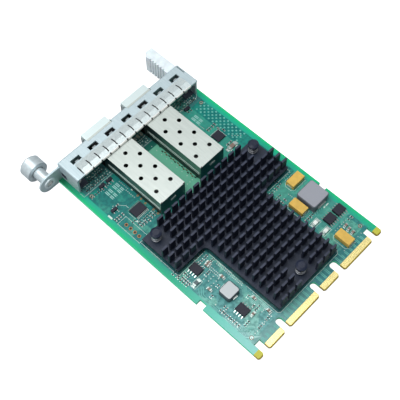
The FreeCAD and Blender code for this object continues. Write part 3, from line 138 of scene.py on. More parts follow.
class Finish:
    """A Principled material and the few node chains that the finishes share."""

    def __init__(self, name, colour, metallic=0.0, roughness=0.5, **sockets):
        self.material = bpy.data.materials.new(name)
        self.material.use_nodes = True
        self.nodes = self.material.node_tree.nodes
        self.links = self.material.node_tree.links
        self.shader = self.nodes["Principled BSDF"]
        self.colour = linear(colour)
        self.shader.inputs["Base Color"].default_value = self.colour
        self.shader.inputs["Metallic"].default_value = metallic
        self.shader.inputs["Roughness"].default_value = roughness
        for socket, value in sockets.items():
            self.shader.inputs[socket.replace("_", " ")].default_value = value
        self.place = self.nodes.new("ShaderNodeTexCoord").outputs["Object"]

    def add(self, kind, **settings):
        """A node of a kind, with its inputs or its own settings filled in."""
        node = self.nodes.new(f"ShaderNode{kind}")
        for key, value in settings.items():
            if key in node.inputs:
                node.inputs[key].default_value = value
            else:
                setattr(node, key, value)
        return node

    def drive(self, socket, value):
        """Joins a node's output to one of the shader's sockets."""
        self.links.new(value, self.shader.inputs[socket])

    def noise(self, scale, detail=3.0, stretch=(1, 1, 1)):
        """Noise over object space; scale counts features per metre."""
        mapping = self.add("Mapping")
        mapping.inputs["Scale"].default_value = stretch
        self.links.new(self.place, mapping.inputs["Vector"])
        noise = self.add("TexNoise", Scale=scale, Detail=detail)
        self.links.new(mapping.outputs["Vector"], noise.inputs["Vector"])
        return noise.outputs["Fac"]

    def ramp(self, factor, *stops):
        """Colour ramp whose stops are (position, colour or grey)."""
        ramp = self.add("ValToRGB")
        elements = ramp.color_ramp.elements
        while len(elements) < len(stops):
            elements.new(0.5)
        for element, (position, value) in zip(elements, stops):
            element.position = position
            element.color = paint(value)
        self.links.new(factor, ramp.inputs["Fac"])
        return ramp.outputs["Color"]

    def vary_colour(self, factor, amount):
        """Lightens and darkens the base colour by amount where the factor runs."""
        low = tuple(channel * (1 - amount) for channel in self.colour[:3]) + (1.0,)
        high = tuple(min(1.0, channel * (1 + amount)) for channel in self.colour[:3]) + (1.0,)
        self.drive("Base Color", self.ramp(factor, (0.35, low), (0.65, high)))
        return self

    def vary_roughness(self, factor, low, high):
        self.drive("Roughness", self.ramp(factor, (0.3, low), (0.7, high)))
        return self

    def bump(self, factor, height, strength=0.5):
        bump = self.add("Bump", Strength=strength, Distance=height)
        self.links.new(factor, bump.inputs["Height"])
        self.drive("Normal", bump.outputs["Normal"])
        return self

    def mix(self, factor, first, second):
        """The first colour where the factor is 0, the second where it is 1."""
        mix = self.add("Mix", data_type="RGBA")
        sockets = [socket for socket in mix.inputs if socket.type == "RGBA"]
        self.links.new(factor, mix.inputs["Factor"])
        for socket, value in zip(sockets, (first, second)):
            if isinstance(value, tuple):
                socket.default_value = paint(value)
            else:
                self.links.new(value, socket)
        return next(socket for socket in mix.outputs if socket.type == "RGBA")

    def maths(self, operation, first, second=0.0):
        """One step of arithmetic on outputs or numbers."""
        node = self.add("Math", operation=operation)
        for socket, value in zip(node.inputs, (first, second)):
            if isinstance(value, (int, float)):
                socket.default_value = value
            else:
                self.links.new(value, socket)
        return node.outputs["Value"]

    def times(self, first, *others):
        """Product of two or more values; with masks, where all of them hold."""
        for other in others:
            first = self.maths("MULTIPLY", first, other)
        return first

    def above(self, value, limit):
        return self.maths("GREATER_THAN", value, limit)

    def below(self, value, limit):
        return self.maths("LESS_THAN", value, limit)

    def between(self, value, low, high):
        """1 where a value lies between two limits."""
        return self.times(self.above(value, low), self.below(value, high))

    def portion(self, value, start, length):
        """0 where a value is at start, 1 where it is a length further on."""
        return self.maths("DIVIDE", self.maths("SUBTRACT", value, start), length)

    def axes(self):
        """X, Y and Z of the point in the shared frame."""
        split = self.add("SeparateXYZ")
        self.links.new(self.place, split.inputs["Vector"])
        return split.outputs

    def upward(self, least=0.5):
        """1 on faces that look up or down, 0 on upright ones."""
        normal = self.add("SeparateXYZ")
        self.links.new(self.add("NewGeometry").outputs["True Normal"], normal.inputs["Vector"])
        return self.above(self.maths("ABSOLUTE", normal.outputs["Z"]), least)


# Tones of the board along its way from the rear left corner to the front right one: the paler rear
# left is a painted reflection of the lamps in the glossy mask.
FIELD_TONES = (
    (0.0, (124, 178, 176)), (0.2, (84, 150, 148)), (0.42, (42, 122, 118)),
    (0.62, (22, 114, 108)), (0.8, (18, 120, 112)),
)
POUR_TONES = ((0.0, (154, 204, 196)), (0.28, (116, 188, 164)), (0.6, (34, 138, 122)))
FAN_OUT_TONES = ((0.02, (124, 164, 160)), (0.2, (50, 113, 117)), (0.5, (20, 110, 114)))
RIM_TONES = (
    (0.0, (138, 200, 194)), (0.07, (130, 196, 187)), (0.14, (103, 189, 174)),
    (0.265, (55, 160, 136)), (0.34, (38, 156, 130)), (0.7, (32, 160, 134)),
)
# Areas of the board with a tone of their own: x from and to, y from and to, share and colour.
# They are the lane between the cages in painted light and in painted shade, painted shade on the
# board near the bracket and under its flange, painted light beside the right cage, a paler area
# round the large inductor, and painted shade round the heat sink's stem and wings.
BOARD_AREAS = (
    (LANE_LEFT, LANE_RIGHT, CAGE_REAR - 2 * MM, CAGE_REAR + 26.8 * MM, 0.8, (104, 176, 146)),
    (LANE_LEFT, LANE_RIGHT, CAGE_REAR + 26.8 * MM, FAR, 0.8, (20, 84, 72)),
    (-FAR, FAR, CAGE_REAR + 29.6 * MM, FAR, 0.55, (72, 112, 116)),
    (-FAR, FAR, FLANGE_REAR + 5 * MM, FAR, 0.85, (6, 24, 28)),
    (LANE_RIGHT + 14.2 * MM, 28.3 * MM, CAGE_REAR - 2 * MM, FAR, 0.3, (84, 176, 150)),
    (SINK_HIGH.x - 13 * MM, FAR, 15 * MM, 45 * MM, 0.25, (104, 186, 164)),
    (STEM_LEFT - 0.6 * MM, STEM_RIGHT + 0.6 * MM, SINK_LOW.y - 0.5 * MM, WINGS_REAR - 0.5 * MM,
     0.75, (14, 58, 66)),
    (SINK_LOW.x - 0.7 * MM, SINK_HIGH.x + 0.7 * MM, WINGS_REAR - 0.5 * MM, SINK_HIGH.y + 0.7 * MM,
     0.75, (14, 58, 66)),
)


def solder_mask():
    """Green mask over copper: brighter along the open rims, bare laminate at the card edge, with
    painted reflection, light and shade.
    """
    finish = Finish("solder_mask", (52, 150, 130), roughness=0.4, Specular_IOR_Level=0.18)
    x, y, _ = finish.axes()
    forward = finish.portion(y, 0.0, BOARD_HIGH.y)
    across = finish.portion(x, BOARD_LOW.x, 2 * (BOARD_HIGH.x - BOARD_LOW.x))
    # The way runs from the rear left to the front right; the tones along it paint a reflection,
    # paler at the rear left.
    way = finish.times(finish.maths("ADD", forward, across), 1 / 1.5)

    patches = finish.ramp(finish.noise(110, 1.0), (0.5, 0.0), (0.53, 1.0))
    field, pour = finish.ramp(way, *FIELD_TONES), finish.ramp(way, *POUR_TONES)
    body = finish.mix(finish.times(patches, 0.6), field, pour)
    shades = finish.ramp(finish.noise(700, 3.0), (0.42, 0.0), (0.6, 1.0))
    body = finish.mix(finish.times(shades, 0.45), body, (16, 74, 78))
    fan_out = finish.between(y, BARE_DEPTH, SINK_LOW.y - 0.6 * MM)
    body = finish.mix(finish.times(fan_out, 0.7), body, finish.ramp(way, *FAN_OUT_TONES))
    # Painted light and shade over areas of the board, and one paler area.
    for left, right, rear, front, share, tone in BOARD_AREAS:
        area = finish.times(finish.between(x, left, right), finish.between(y, rear, front), share)
        body = finish.mix(area, body, tone)

    # The open rims are greener towards the sides and paler at the rear as a painted reflection, and
    # the left one carries the bracket's painted shadow towards the front.
    strip = finish.ramp(way, *RIM_TONES)
    from_middle = finish.maths("ABSOLUTE", x)
    rim_inner = BOARD_HIGH.x - RIM_WIDTH
    outward = finish.portion(from_middle, rim_inner, RIM_WIDTH)
    outward = finish.ramp(outward, (0.25, 0.0), (0.95, 1.0))
    outward = finish.times(outward, finish.ramp(way, (0.15, 0.0), (0.45, 0.8)))
    strip = finish.mix(outward, strip, (10, 186, 112))
    shade_rear = FLANGE_REAR - 6 * MM
    # Painted shadow of the bracket on the left rim, growing towards the front.
    beside = finish.portion(y, shade_rear, BOARD_HIGH.y - shade_rear)
    beside = finish.times(finish.ramp(beside, (0.1, 0.0), (0.9, 0.9)), finish.below(x, 0.0))
    strip = finish.mix(beside, strip, (4, 84, 52))
    colour = finish.mix(finish.above(from_middle, rim_inner), body, strip)

    rail = finish.above(from_middle, BOARD_HIGH.x - RAIL_WIDTH)
    laminate = finish.mix(rail, (240, 222, 150), (184, 182, 72))
    bare = finish.below(y, BARE_DEPTH)
    colour = finish.mix(bare, colour, laminate)
    # Upright faces: the board's edge is painted pale as painted light against its shade; bare
    # laminate at the card edge.
    side = finish.mix(bare, (90, 220, 176), (168, 148, 48))
    finish.drive("Base Color", finish.mix(finish.upward(0.9), side, colour))
    finish.vary_roughness(finish.noise(700), 0.28, 0.42)
    return finish.bump(finish.noise(2600, 2.0), 0.02 * MM, 0.25).material


def anodised():
    """Black anodising with painted light: greyest on the pins' tops as a painted highlight, darker
    on the base between the pins and darkest on upright faces as painted shade.
    """
    finish = Finish("black_anodised", (58, 62, 76), roughness=0.5, Specular_IOR_Level=0.4)
    wear_and_painted_light = finish.ramp(finish.noise(500), (0.35, (33, 41, 60)), (0.65, (45, 53, 73)))
    # Painted highlight on the pins' tops; the lower flats and the upright faces are painted darker
    # as shade.
    pin_top = finish.above(finish.axes()["Z"], SINK_HIGH.z - 0.4 * MM)
    flat = finish.mix(pin_top, (22, 33, 52), wear_and_painted_light)
    finish.drive("Base Color", finish.mix(finish.upward(), (17, 24, 44), flat))
    finish.vary_roughness(finish.noise(1400), 0.42, 0.6)
    return finish.bump(finish.noise(9000, 2.0), 0.012 * MM, 0.4).material


def bracket_plate():
    """Brushed sheet outside, with painted shade inside the folded flange and in the left flank's
    slot.
    """
    finish = Finish("bracket_plate", (212, 228, 233), metallic=0.5, roughness=0.42)
    x, y, z = finish.axes()
    from_middle = finish.maths("ABSOLUTE", x)
    behind = finish.below(y, BRACKET_FRONT - BRACKET_SHEET - 2 * SKIN)
    inside = finish.times(finish.below(from_middle, FLANK_INNER), finish.below(z, FLANGE_UNDER))
    slot_walls = finish.times(
        finish.below(from_middle, FLANK_OUTER - SKIN),
        finish.between(y, BRACKET_FRONT - SLOT_REACH, BRACKET_FRONT),
        finish.between(z, SLOT_FOOT, SLOT_HEAD),
    )
    # Painted shade inside the folded flange and on the walls of the left flank's slot.
    dark = finish.times(finish.maths("MAXIMUM", inside, slot_walls), behind)
    brushing = finish.noise(160, 4.0, BRUSHED)
    patina = finish.ramp(brushing, (0.35, (182, 201, 207)), (0.65, (196, 212, 217)))
    flank_foot = finish.times(behind, finish.below(z, 5.5 * MM))
    mottle = finish.ramp(finish.noise(900, 2.0), (0.45, 0.0), (0.6, 0.5))
    patina = finish.mix(finish.times(flank_foot, mottle), patina, (140, 158, 172))
    finish.drive("Base Color", finish.mix(dark, patina, (92, 98, 114)))
    finish.vary_roughness(finish.noise(900, 4.0, BRUSHED), 0.34, 0.52)
    return finish.bump(finish.noise(2500, 2.0, BRUSHED), 0.006 * MM, 0.3).material


def spring_plate():
    """Bright sheet of the finger strip with a painted highlight on its rear lip; its clips are
    painted dark for the shade of their slots.
    """
    finish = Finish("spring_plate", (208, 220, 220), metallic=0.5, roughness=0.4)
    y = finish.axes()["Y"]
    wear_and_painted_light = finish.ramp(finish.noise(1800, 2.0), (0.35, (198, 211, 212)), (0.65, (216, 226, 226)))
    # Painted highlight on the rear lip.
    wear_and_painted_light = finish.mix(finish.below(y, STRIP_LOW.y + 0.45 * MM), wear_and_painted_light, (250, 250, 244))
    # The clips are painted dark for the shade in their slots.
    clip = finish.above(y, STRIP_HIGH.y)
    finish.drive("Base Color", finish.mix(clip, wear_and_painted_light, (150, 160, 162)))
    finish.vary_roughness(finish.noise(900, 4.0), 0.32, 0.5)
    return finish.bump(finish.noise(2500, 2.0), 0.006 * MM, 0.3).material


def turned(name, colour, roughness):
    """Bare metal with fine tool marks."""
    finish = Finish(name, colour, metallic=0.8, roughness=roughness)
    finish.vary_colour(finish.noise(600), 0.06)
    marks = finish.noise(2200, 2.0, (1, 12, 1))
    finish.vary_roughness(marks, roughness - 0.06, roughness + 0.1)
    return finish.bump(finish.noise(5000, 2.0, (1, 8, 1)), 0.006 * MM, 0.3).material


def moulded(name, colour, roughness, grain=9000, depth=0.01 * MM, **sockets):
    """Plastic, ceramic, paint or ink with a fine grain."""
    finish = Finish(name, colour, roughness=roughness, **sockets)
    finish.vary_colour(finish.noise(350), 0.08)
    finish.vary_roughness(finish.noise(2000), roughness - 0.07, roughness + 0.08)
    return finish.bump(finish.noise(grain, 2.0), depth, 0.5).material


def inductor():
    """Pressed iron powder: the left one has a pale top, and the sides of both are painted darker as
    shade.
    """
    finish = Finish("inductor_grey", (168, 174, 180), roughness=0.42)
    left = finish.below(finish.axes()["X"], 0.0)
    top = finish.mix(left, (140, 143, 152), (178, 185, 188))
    # Upright faces are painted darker as shade.
    side = finish.mix(left, (96, 100, 110), (58, 70, 78))
    finish.drive("Base Color", finish.mix(finish.upward(0.85), side, top))
    finish.vary_roughness(finish.noise(2000), 0.35, 0.5)
    return finish.bump(finish.noise(3500, 2.0), 0.03 * MM, 0.5).material


def ceramic():
    """Pale ceramic, dark grey on the left of the card."""
    finish = Finish("white_ceramic", (226, 232, 226), roughness=0.35)
    left = finish.below(finish.axes()["X"], -20 * MM)
    pale = finish.ramp(finish.noise(350), (0.35, (216, 223, 217)), (0.65, (232, 238, 232)))
    finish.drive("Base Color", finish.mix(left, pale, (64, 84, 88)))
    finish.vary_roughness(finish.noise(2000), 0.28, 0.43)
    return finish.bump(finish.noise(9000, 2.0), 0.01 * MM, 0.5).material


def gold():
    """Plating of the edge contacts."""
    finish = Finish("gold_plate", (248, 234, 164), metallic=0.6, roughness=0.3)
    finish.vary_colour(finish.noise(300), 0.04)
    return finish.vary_roughness(finish.noise(3000), 0.2, 0.36).material


def cage_plate():
    """Plated cage sheet: its walls carry a painted reflection of the board and painted shade, and
    what lies inside the cages and under the flange is painted dark as shade.
    """
    finish = Finish("cage_plate", (232, 235, 231), metallic=0.6, roughness=0.42)
    low, high = CAGES[0]
    middles = [(cage[0].x + cage[1].x) / 2 for cage in CAGES]
    x, y, z = finish.axes()
    from_pair = finish.maths("ABSOLUTE", finish.maths("SUBTRACT", x, sum(middles) / 2))
    offset = finish.maths("SUBTRACT", from_pair, (middles[1] - middles[0]) / 2)
    half = (high.x - low.x) / 2 - CAGE_SKIN
    inside = finish.times(
        finish.below(finish.maths("ABSOLUTE", offset), half),
        finish.below(z, high.z - CAGE_SKIN),
        finish.above(y, low.y + 2 * CAGE_SKIN),
    )
    # Painted shade on the roof under the bracket's flange.
    covered = finish.between(y, FLANGE_REAR + 2 * MM, FLANGE_REAR + 12 * MM)
    dark = finish.maths("MAXIMUM", inside, covered)

    # Walls: a painted reflection of the green board, darkening towards the flange as painted shade;
    # below the covers painted shade; the rear end wall a painted reflection of the board; the tab's
    # rear face pale.
    along = finish.portion(y, low.y, FLANGE_REAR - low.y)
    walls = finish.ramp(
        along, (0.0, (104, 144, 130)), (0.45, (74, 112, 102)), (0.85, (24, 48, 50))
    )
    walls = finish.mix(finish.below(z, low.z - 0.1 * MM), walls, (26, 50, 50))
    walls = finish.mix(finish.below(y, low.y + 1.5 * CAGE_SKIN), walls, (48, 108, 110))
    walls = finish.mix(finish.below(y, low.y + 0.2 * CAGE_SKIN), walls, (172, 196, 198))
    brushing = finish.noise(160, 4.0, BRUSHED)
    roof = finish.ramp(brushing, (0.35, (192, 201, 196)), (0.65, (206, 214, 209)))
    colour = finish.mix(finish.upward(), walls, roof)
    # Paler in front of the bracket.
    colour = finish.mix(finish.above(y, BRACKET_FRONT), colour, (222, 236, 236))
    # Painted shade inside the cages and under the flange.
    finish.drive("Base Color", finish.mix(dark, colour, (16, 18, 20)))
    finish.drive("Roughness", finish.ramp(dark, (0.0, 0.4), (1.0, 0.95)))
    return finish.bump(finish.noise(2500, 2.0, BRUSHED), 0.006 * MM, 0.3).material


SLOTS = {
    "solder_mask": solder_mask(),
    "gold_plate": gold(),
    "black_anodised": anodised(),
    "cage_plate": cage_plate(),
    "bracket_plate": bracket_plate(),
    "spring_plate": spring_plate(),
    "turned_metal": turned("turned_metal", (214, 226, 230), 0.42),
    "spring_steel": turned("spring_steel", (164, 168, 174), 0.3),
    "black_screw": moulded("black_screw", (24, 32, 52), 0.42, Specular_IOR_Level=0.35),
    "bright_screw": turned("bright_screw", (206, 208, 206), 0.3),
    "white_plastic": moulded(
        "white_plastic", (214, 224, 228), 0.46, 5000, 0.02 * MM, Subsurface_Weight=0.05
    ),
    "black_plastic": moulded("black_plastic", (22, 22, 24), 0.5),
    "mould_compound": moulded("mould_compound", (28, 30, 44), 0.5, Specular_IOR_Level=0.3),
    "pad_grey": moulded("pad_grey", (140, 140, 146), 0.7),
    "inductor_grey": inductor(),
    "tantalum_yellow": moulded("tantalum_yellow", (206, 168, 74), 0.4),
    "tin_lead": turned("tin_lead", (198, 209, 206), 0.3),
    "white_ceramic": ceramic(),
    "brown_ceramic": moulded("brown_ceramic", (122, 104, 94), 0.4),
    "dark_ceramic": moulded("dark_ceramic", (34, 34, 38), 0.35),
    "clear_lens": moulded("clear_lens", (205, 214, 196), 0.15, Transmission_Weight=0.3),
}
SILK = moulded("silk_ink", (196, 214, 206), 0.6)
TRACE = moulded("copper_trace", (90, 170, 158), 0.4)
SOLDER = turned("solder_pad", (172, 186, 182), 0.35)
COPPER = moulded("copper_land", (168, 112, 52), 0.4)
BROWN = moulded("brown_part", (104, 78, 52), 0.4)
STROKE = moulded("ink_stroke", (168, 214, 208), 0.5)


def dress_nodes():
    """Gives each CAD node the finish of its material slot."""
    for part in frame["record"]["subparts"]:
        node = frame["nodes"][part["node"]]
        node.data.materials.clear()
        node.data.materials.append(SLOTS[part["material_slot"]])


# ---------- Tools for fine trim ----------

BLOCK_FACES = ((3, 2, 1, 0), (4, 5, 6, 7), (0, 1, 5, 4), (1, 2, 6, 5), (2, 3, 7, 6), (3, 0, 4, 7))
# Least cosine that a strip's mitre is worked out with, so that sharp turns stay short.
LEAST_MITRE = 0.3
# Points of a CAD mesh that are nearer to each other than this count as one.
WELD = 0.001 * MM
PAD_HEIGHT = 0.03 * MM
INK_HEIGHT = 0.02 * MM


class Trim:
    """One piece of fine trim, put together from blocks, rings, dots and strips."""

    def __init__(self, name):
        self.name = name
        self.mesh = bmesh.new()

    def block(self, low, high, draw_in=0.0):
        """A block between two corners, its top drawn in on every side."""
        corners = []
        for z, inset in ((low[2], 0.0), (high[2], draw_in)):
            left, right = low[0] + inset, high[0] - inset
            rear, front = low[1] + inset, high[1] - inset
            corners += [(left, rear, z), (right, rear, z), (right, front, z), (left, front, z)]
        points = [self.mesh.verts.new(corner) for corner in corners]
        for face in BLOCK_FACES:
            self.mesh.faces.new([points[index] for index in face])

    def plate(self, x, y, width, length, height, level=TOP):
        """A flat plate centred on x and y."""
        low = (x - width / 2, y - length / 2, level)
        self.block(low, (x + width / 2, y + length / 2, level + height))

    def circle(self, x, y, radius, level, sides):
        """Vertices round a circle at one level."""
        turns = [2 * math.pi * step / sides for step in range(sides)]
        return [
            self.mesh.verts.new((x + radius * math.cos(turn), y + radius * math.sin(turn), level))
            for turn in turns
        ]

    def join(self, near, far):
        """Faces from one loop of vertices to the next."""
        for step in range(len(near)):
            after = (step + 1) % len(near)
            self.mesh.faces.new((near[step], near[after], far[after], far[step]))

    def ring(self, x, y, inner, outer, height, level=TOP, sides=20):
        """A flat ring centred on x and y."""
        top = level + height
        corners = ((outer, level), (outer, top), (inner, top), (inner, level))
        loops = [self.circle(x, y, radius, z, sides) for radius, z in corners]
        for index, loop in enumerate(loops):
            self.join(loop, loops[(index + 1) % len(loops)])

    def dot(self, x, y, radius, height, sides, level=TOP):
        """A flat disc centred on x and y."""
        lower, upper = (self.circle(x, y, radius, z, sides) for z in (level, level + height))
        self.mesh.faces.new(upper)
        self.mesh.faces.new(lower[::-1])
        self.join(lower, upper)

    def strip(self, points, width, height, closed=False):
        """A flat strip along points on the board, mitred at its turns."""
        route = [Vector(point) for point in points]
        total = len(route)
        loops = []
        for index, point in enumerate(route):
            runs = []
            if index or closed:
                runs.append((point - route[index - 1]).normalized())
            if index < total - 1 or closed:
                runs.append((route[(index + 1) % total] - point).normalized())
            along = sum(runs, Vector((0.0, 0.0))).normalized()
            across = Vector((-along.y, along.x))
            reach = width / 2 / max(LEAST_MITRE, abs(along.dot(runs[0])))
            left, right = point + across * reach, point - across * reach
            edges = ((left, TOP), (left, TOP + height), (right, TOP + height), (right, TOP))
            loops.append([self.mesh.verts.new((edge.x, edge.y, z)) for edge, z in edges])
        for index in range(total if closed else total - 1):
            self.join(loops[index], loops[(index + 1) % total])
        if not closed:
            self.mesh.faces.new(loops[0])
            self.mesh.faces.new(loops[-1][::-1])

    def draw(self, points, width, closed=False):
        """A thin strip along points given in mm."""
        self.strip([(x * MM, y * MM) for x, y in points], width * MM, INK_HEIGHT, closed)

    def done(self, slot, material=None, body=CARD):
        """Puts the piece into the scene, in its slot's own material unless one is given."""
        bmesh.ops.recalc_face_normals(self.mesh, faces=self.mesh.faces)
        data = bpy.data.meshes.new(self.name)
        self.mesh.to_mesh(data)
        self.mesh.free()
        data.materials.append(SLOTS[slot] if material is None else material)
        piece = bpy.data.objects.new(self.name, data)
        bpy.context.scene.collection.objects.link(piece)
        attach(piece, body)
        return piece


def solids(node):
    """Lowest and highest corner of each separate solid in a CAD node."""
    mesh = bmesh.new()
    mesh.from_mesh(frame["nodes"][node].data)
    bmesh.ops.remove_doubles(mesh, verts=mesh.verts, dist=WELD)
    left = set(mesh.verts)
    boxes = []
    while left:
        front = [left.pop()]
        island = []
        while front:
            point = front.pop()
            island.append(point.co.copy())
            for edge in point.link_edges:
                other = edge.other_vert(point)
                if other in left:
                    left.remove(other)
                    front.append(other)
        low = Vector([min(point[axis] for point in island) for axis in range(3)])
        high = Vector([max(point[axis] for point in island) for axis in range(3)])
        boxes.append((low, high))
    mesh.free()
    return sorted(boxes, key=lambda box: (round(box[0].x, 6), round(box[0].y, 6)))


def rows(places):
    """Each place of rows given as x, y, step along X, step along Y and count, all but it in mm."""
    for x, y, step_x, step_y, count in places:
        for index in range(count):
            yield (x + step_x * index) * MM, (y + step_y * index) * MM


# ---------- Fine trim on the board: solder, small parts, vias, silk screen and traces ----------

# A chip part's plated ends stand proud, cover a share of its length, and their pads run on.
CAP_PROUD = 0.03 * MM
CAP_SHARE = 0.24
CAP_PAD_SHARE = 0.22


def end_caps():
    """Plated ends of the chip parts, with the solder pads that they stand on."""
    caps = Trim("chip_end_caps")
    pads = Trim("chip_solder_pads")
    for node in ("chip_resistors", "chip_capacitors", "ceramic_blocks"):
        for low, high in solids(node):
            along = 0 if high.x - low.x > high.y - low.y else 1
            length = high[along] - low[along]
            for end in (-1, 1):
                cap_low, cap_high = low.copy(), high.copy()
                cap_high.z += CAP_PROUD
                for axis in (0, 1):
                    cap_low[axis] -= CAP_PROUD
                    cap_high[axis] += CAP_PROUD
                pad_low, pad_high = cap_low.copy(), cap_high.copy()
                if end < 0:
                    cap_high[along] = low[along] + length * CAP_SHARE
                    pad_high[along] = cap_high[along]
                    pad_low[along] -= length * CAP_PAD_SHARE
                else:
                    cap_low[along] = high[along] - length * CAP_SHARE
                    pad_low[along] = cap_low[along]
                    pad_high[along] += length * CAP_PAD_SHARE
                pad_high.z = TOP + PAD_HEIGHT
                caps.block(cap_low, cap_high, CAP_PROUD)
                pads.block(pad_low, pad_high)
    caps.done("tin_lead", SOLDER)
    pads.done("tin_lead", SOLDER)


# Bare pad pairs for small parts, from the card edge and from the cages' rear: x, y, steps, count.
REAR_PADS_ACROSS = (
    (-33.4, 24.4, 0, 1, 1), (-33.4, 22.1, 0, -1.1, 2), (-33.4, 18.7, 0, -1, 1),
    (-31.3, 24.2, 0, -1.2, 2), (-35.2, 41.2, 0, 1.15, 6), (-31.9, 43.4, 0, 1.1, 2),
    (25.6, 47.6, 0, -1.2, 3), (34.2, 28.0, 0, 1, 1),
)
REAR_PADS_ALONG = (
    (-25.0, 47.0, 1.1, 0, 6), (-24.4, 44.6, 1.1, 0, 5), (-24.6, 42.0, 1, 0, 1),
    (-20.6, 41.6, 1.1, 0, 2), (-35.6, 48.8, 1.1, 0, 5), (-24.0, 14.6, 1.1, 0, 3),
    (-22.4, 20.4, 1.1, 0, 2), (19.2, 44.9, 1.1, 0, 3), (-28.6, 8.6, 1.2, 0, 3),
    (-24.2, 8.8, 1.3, 0, 3), (-29.4, 44.9, 1.1, 0, 4), (-26.9, 39.0, 1.1, 0, 3),
    (-32.4, 31.0, 1.1, 0, 2), (-27.4, 32.2, 1.2, 0, 2), (-23.4, 28.4, 1.2, 0, 2),
    (29.0, 44.2, 1.2, 0, 4), (23.9, 25.8, 1.1, 0, 3), (19.3, 41.6, 1.2, 0, 3),
    (-31.6, 13.2, 1.1, 0, 3), (32.6, 13.4, 1.2, 0, 2),
)
FRONT_PADS_ALONG = (
    (-28.9, 4.4, 1.1, 0, 8), (-34.2, 27.6, 1.3, 0, 10), (-33.0, 31.6, 1.3, 0, 9),
    (-34.2, 34.4, 1.3, 0, 10), (24.8, 31.8, 1.3, 0, 7), (25.4, 34.8, 1.3, 0, 6),
    (-28.0, 29.0, 1.7, 0, 2), (-20.4, 3.2, 1, 0, 1), (-27.9, 27.2, 1.6, 0, 2),
    (-23.8, 27.2, 1.6, 0, 2), (25.8, 28.6, 1.6, 0, 2), (-30.2, 6.6, 1.1, 0, 2),
)
PAD_WIDTH = 0.42 * MM
PAD_LENGTH = 0.34 * MM
PAD_SPREAD = 0.85 * MM
# Share of the pad pairs that carry a part, and the part's length as a share of the spread.
PART_CHANCE = 0.85
PART_SHARE = 0.8
PART_HEIGHT = 0.25 * MM


def bare_pads():
    """Pad pairs, most of them with a tiny chip part between the pads."""
    pads = Trim("small_part_pads")
    bodies = Trim("small_part_bodies")
    for places, from_y, across in (
        (REAR_PADS_ACROSS, 0.0, True),
        (REAR_PADS_ALONG, 0.0, False),
        (FRONT_PADS_ALONG, CAGE_REAR, False),
    ):
        for x, y in rows(places):
            for side in (-0.5, 0.5):
                shift = PAD_SPREAD * side
                place = (x + shift, from_y + y) if across else (x, from_y + y + shift)
                span = (PAD_LENGTH, PAD_WIDTH) if across else (PAD_WIDTH, PAD_LENGTH)
                pads.plate(*place, *span, PAD_HEIGHT)
            if RNG.random() < PART_CHANCE:
                length = PAD_SPREAD * PART_SHARE
                span = (length, PAD_WIDTH) if across else (PAD_WIDTH, length)
                bodies.plate(x, from_y + y, *span, PART_HEIGHT)
    pads.done("tin_lead")
    bodies.done("dark_ceramic")


# Rows of plated vias: x, y, steps, count.
REAR_VIAS = (
    (-23.6, 34.5, 0, 0.85, 9), (-22.6, 33.6, 0, 0.85, 9), (-19.9, 25.6, 0, 0.85, 17),
    (-19.1, 25.9, 0, 0.85, 17), (-28.4, 34.2, 1.4, 0, 4), (-27.7, 36.4, 1.4, 0, 3),
    (-28.4, 38.4, 1.4, 0, 3), (-24.6, 24.2, 0.9, 0.5, 4), (-31.2, 8.2, 1.3, 0, 5),
    (-22.8, 12.2, 0.9, 0, 3), (20.2, 5.6, 2.2, 0, 6), (29.4, 46.0, 1.2, 0, 4),
    (24.6, 36.6, 0, 0.9, 4), (24.9, 14.0, 1.3, 0, 6), (-26.4, 8.4, 1.2, 0.3, 5),
)
FRONT_VIAS = (
    (-30.6, 14.6, 0, 0.9, 5), (-21.4, 14.8, 0, 1.0, 6), (-20.4, 20.0, 0, 1.0, 6),
    (24.0, 17.6, 0, 0.9, 4), (-2.8, 3.0, 1.5, 0, 4), (-2.2, 8.0, 0, 4.2, 7),
    (1.6, 6.0, 0, 3.1, 9), (30.0, 6.0, 0.9, -0.9, 4),
)
# Inner and outer radius of each kind of ring.
VIA_RIM = (0.09 * MM, 0.24 * MM)
LARGE_VIA_LAND = (0.24 * MM, 0.48 * MM)
HEADER_LAND = (0.52 * MM, 0.78 * MM)
HEADER_HOLE_SHADE = (0.22 * MM, 0.53 * MM)
CORNER_PLATING = (0.42 * MM, 0.7 * MM)
CORNER_BORDER = (0.7 * MM, 0.94 * MM)


def vias():
    """Rims of the plated vias."""
    rings = Trim("plated_vias")
    for places, from_y in ((REAR_VIAS, 0.0), (FRONT_VIAS, CAGE_REAR)):
        for x, y in rows(places):
            rings.ring(x, from_y + y, *VIA_RIM, PAD_HEIGHT, sides=10)
    rings.done("tin_lead", SOLDER)


# The header's empty holes stand in a row along Y.
HEADER_X = BOARD_LOW.x + 5.2 * MM
HEADER_ROW = [CAGE_REAR + (0.1 + 2.54 * index) * MM for index in range(4)]
# Large vias: x and the distance from the cages' rear, in mm.
LARGE_VIAS = ((-20.0, 2.0), (-20.0, 4.7), (-20.2, 9.3), (-20.0, 12.2), (-19.9, 14.4))
CORNER_INSET = 4.5 * MM
CORNER_HOLES = [
    (x, y)
    for x in (BOARD_LOW.x + CORNER_INSET, BOARD_HIGH.x - CORNER_INSET)
    for y in (8.0 * MM, BOARD_HIGH.y - 15.9 * MM)
]


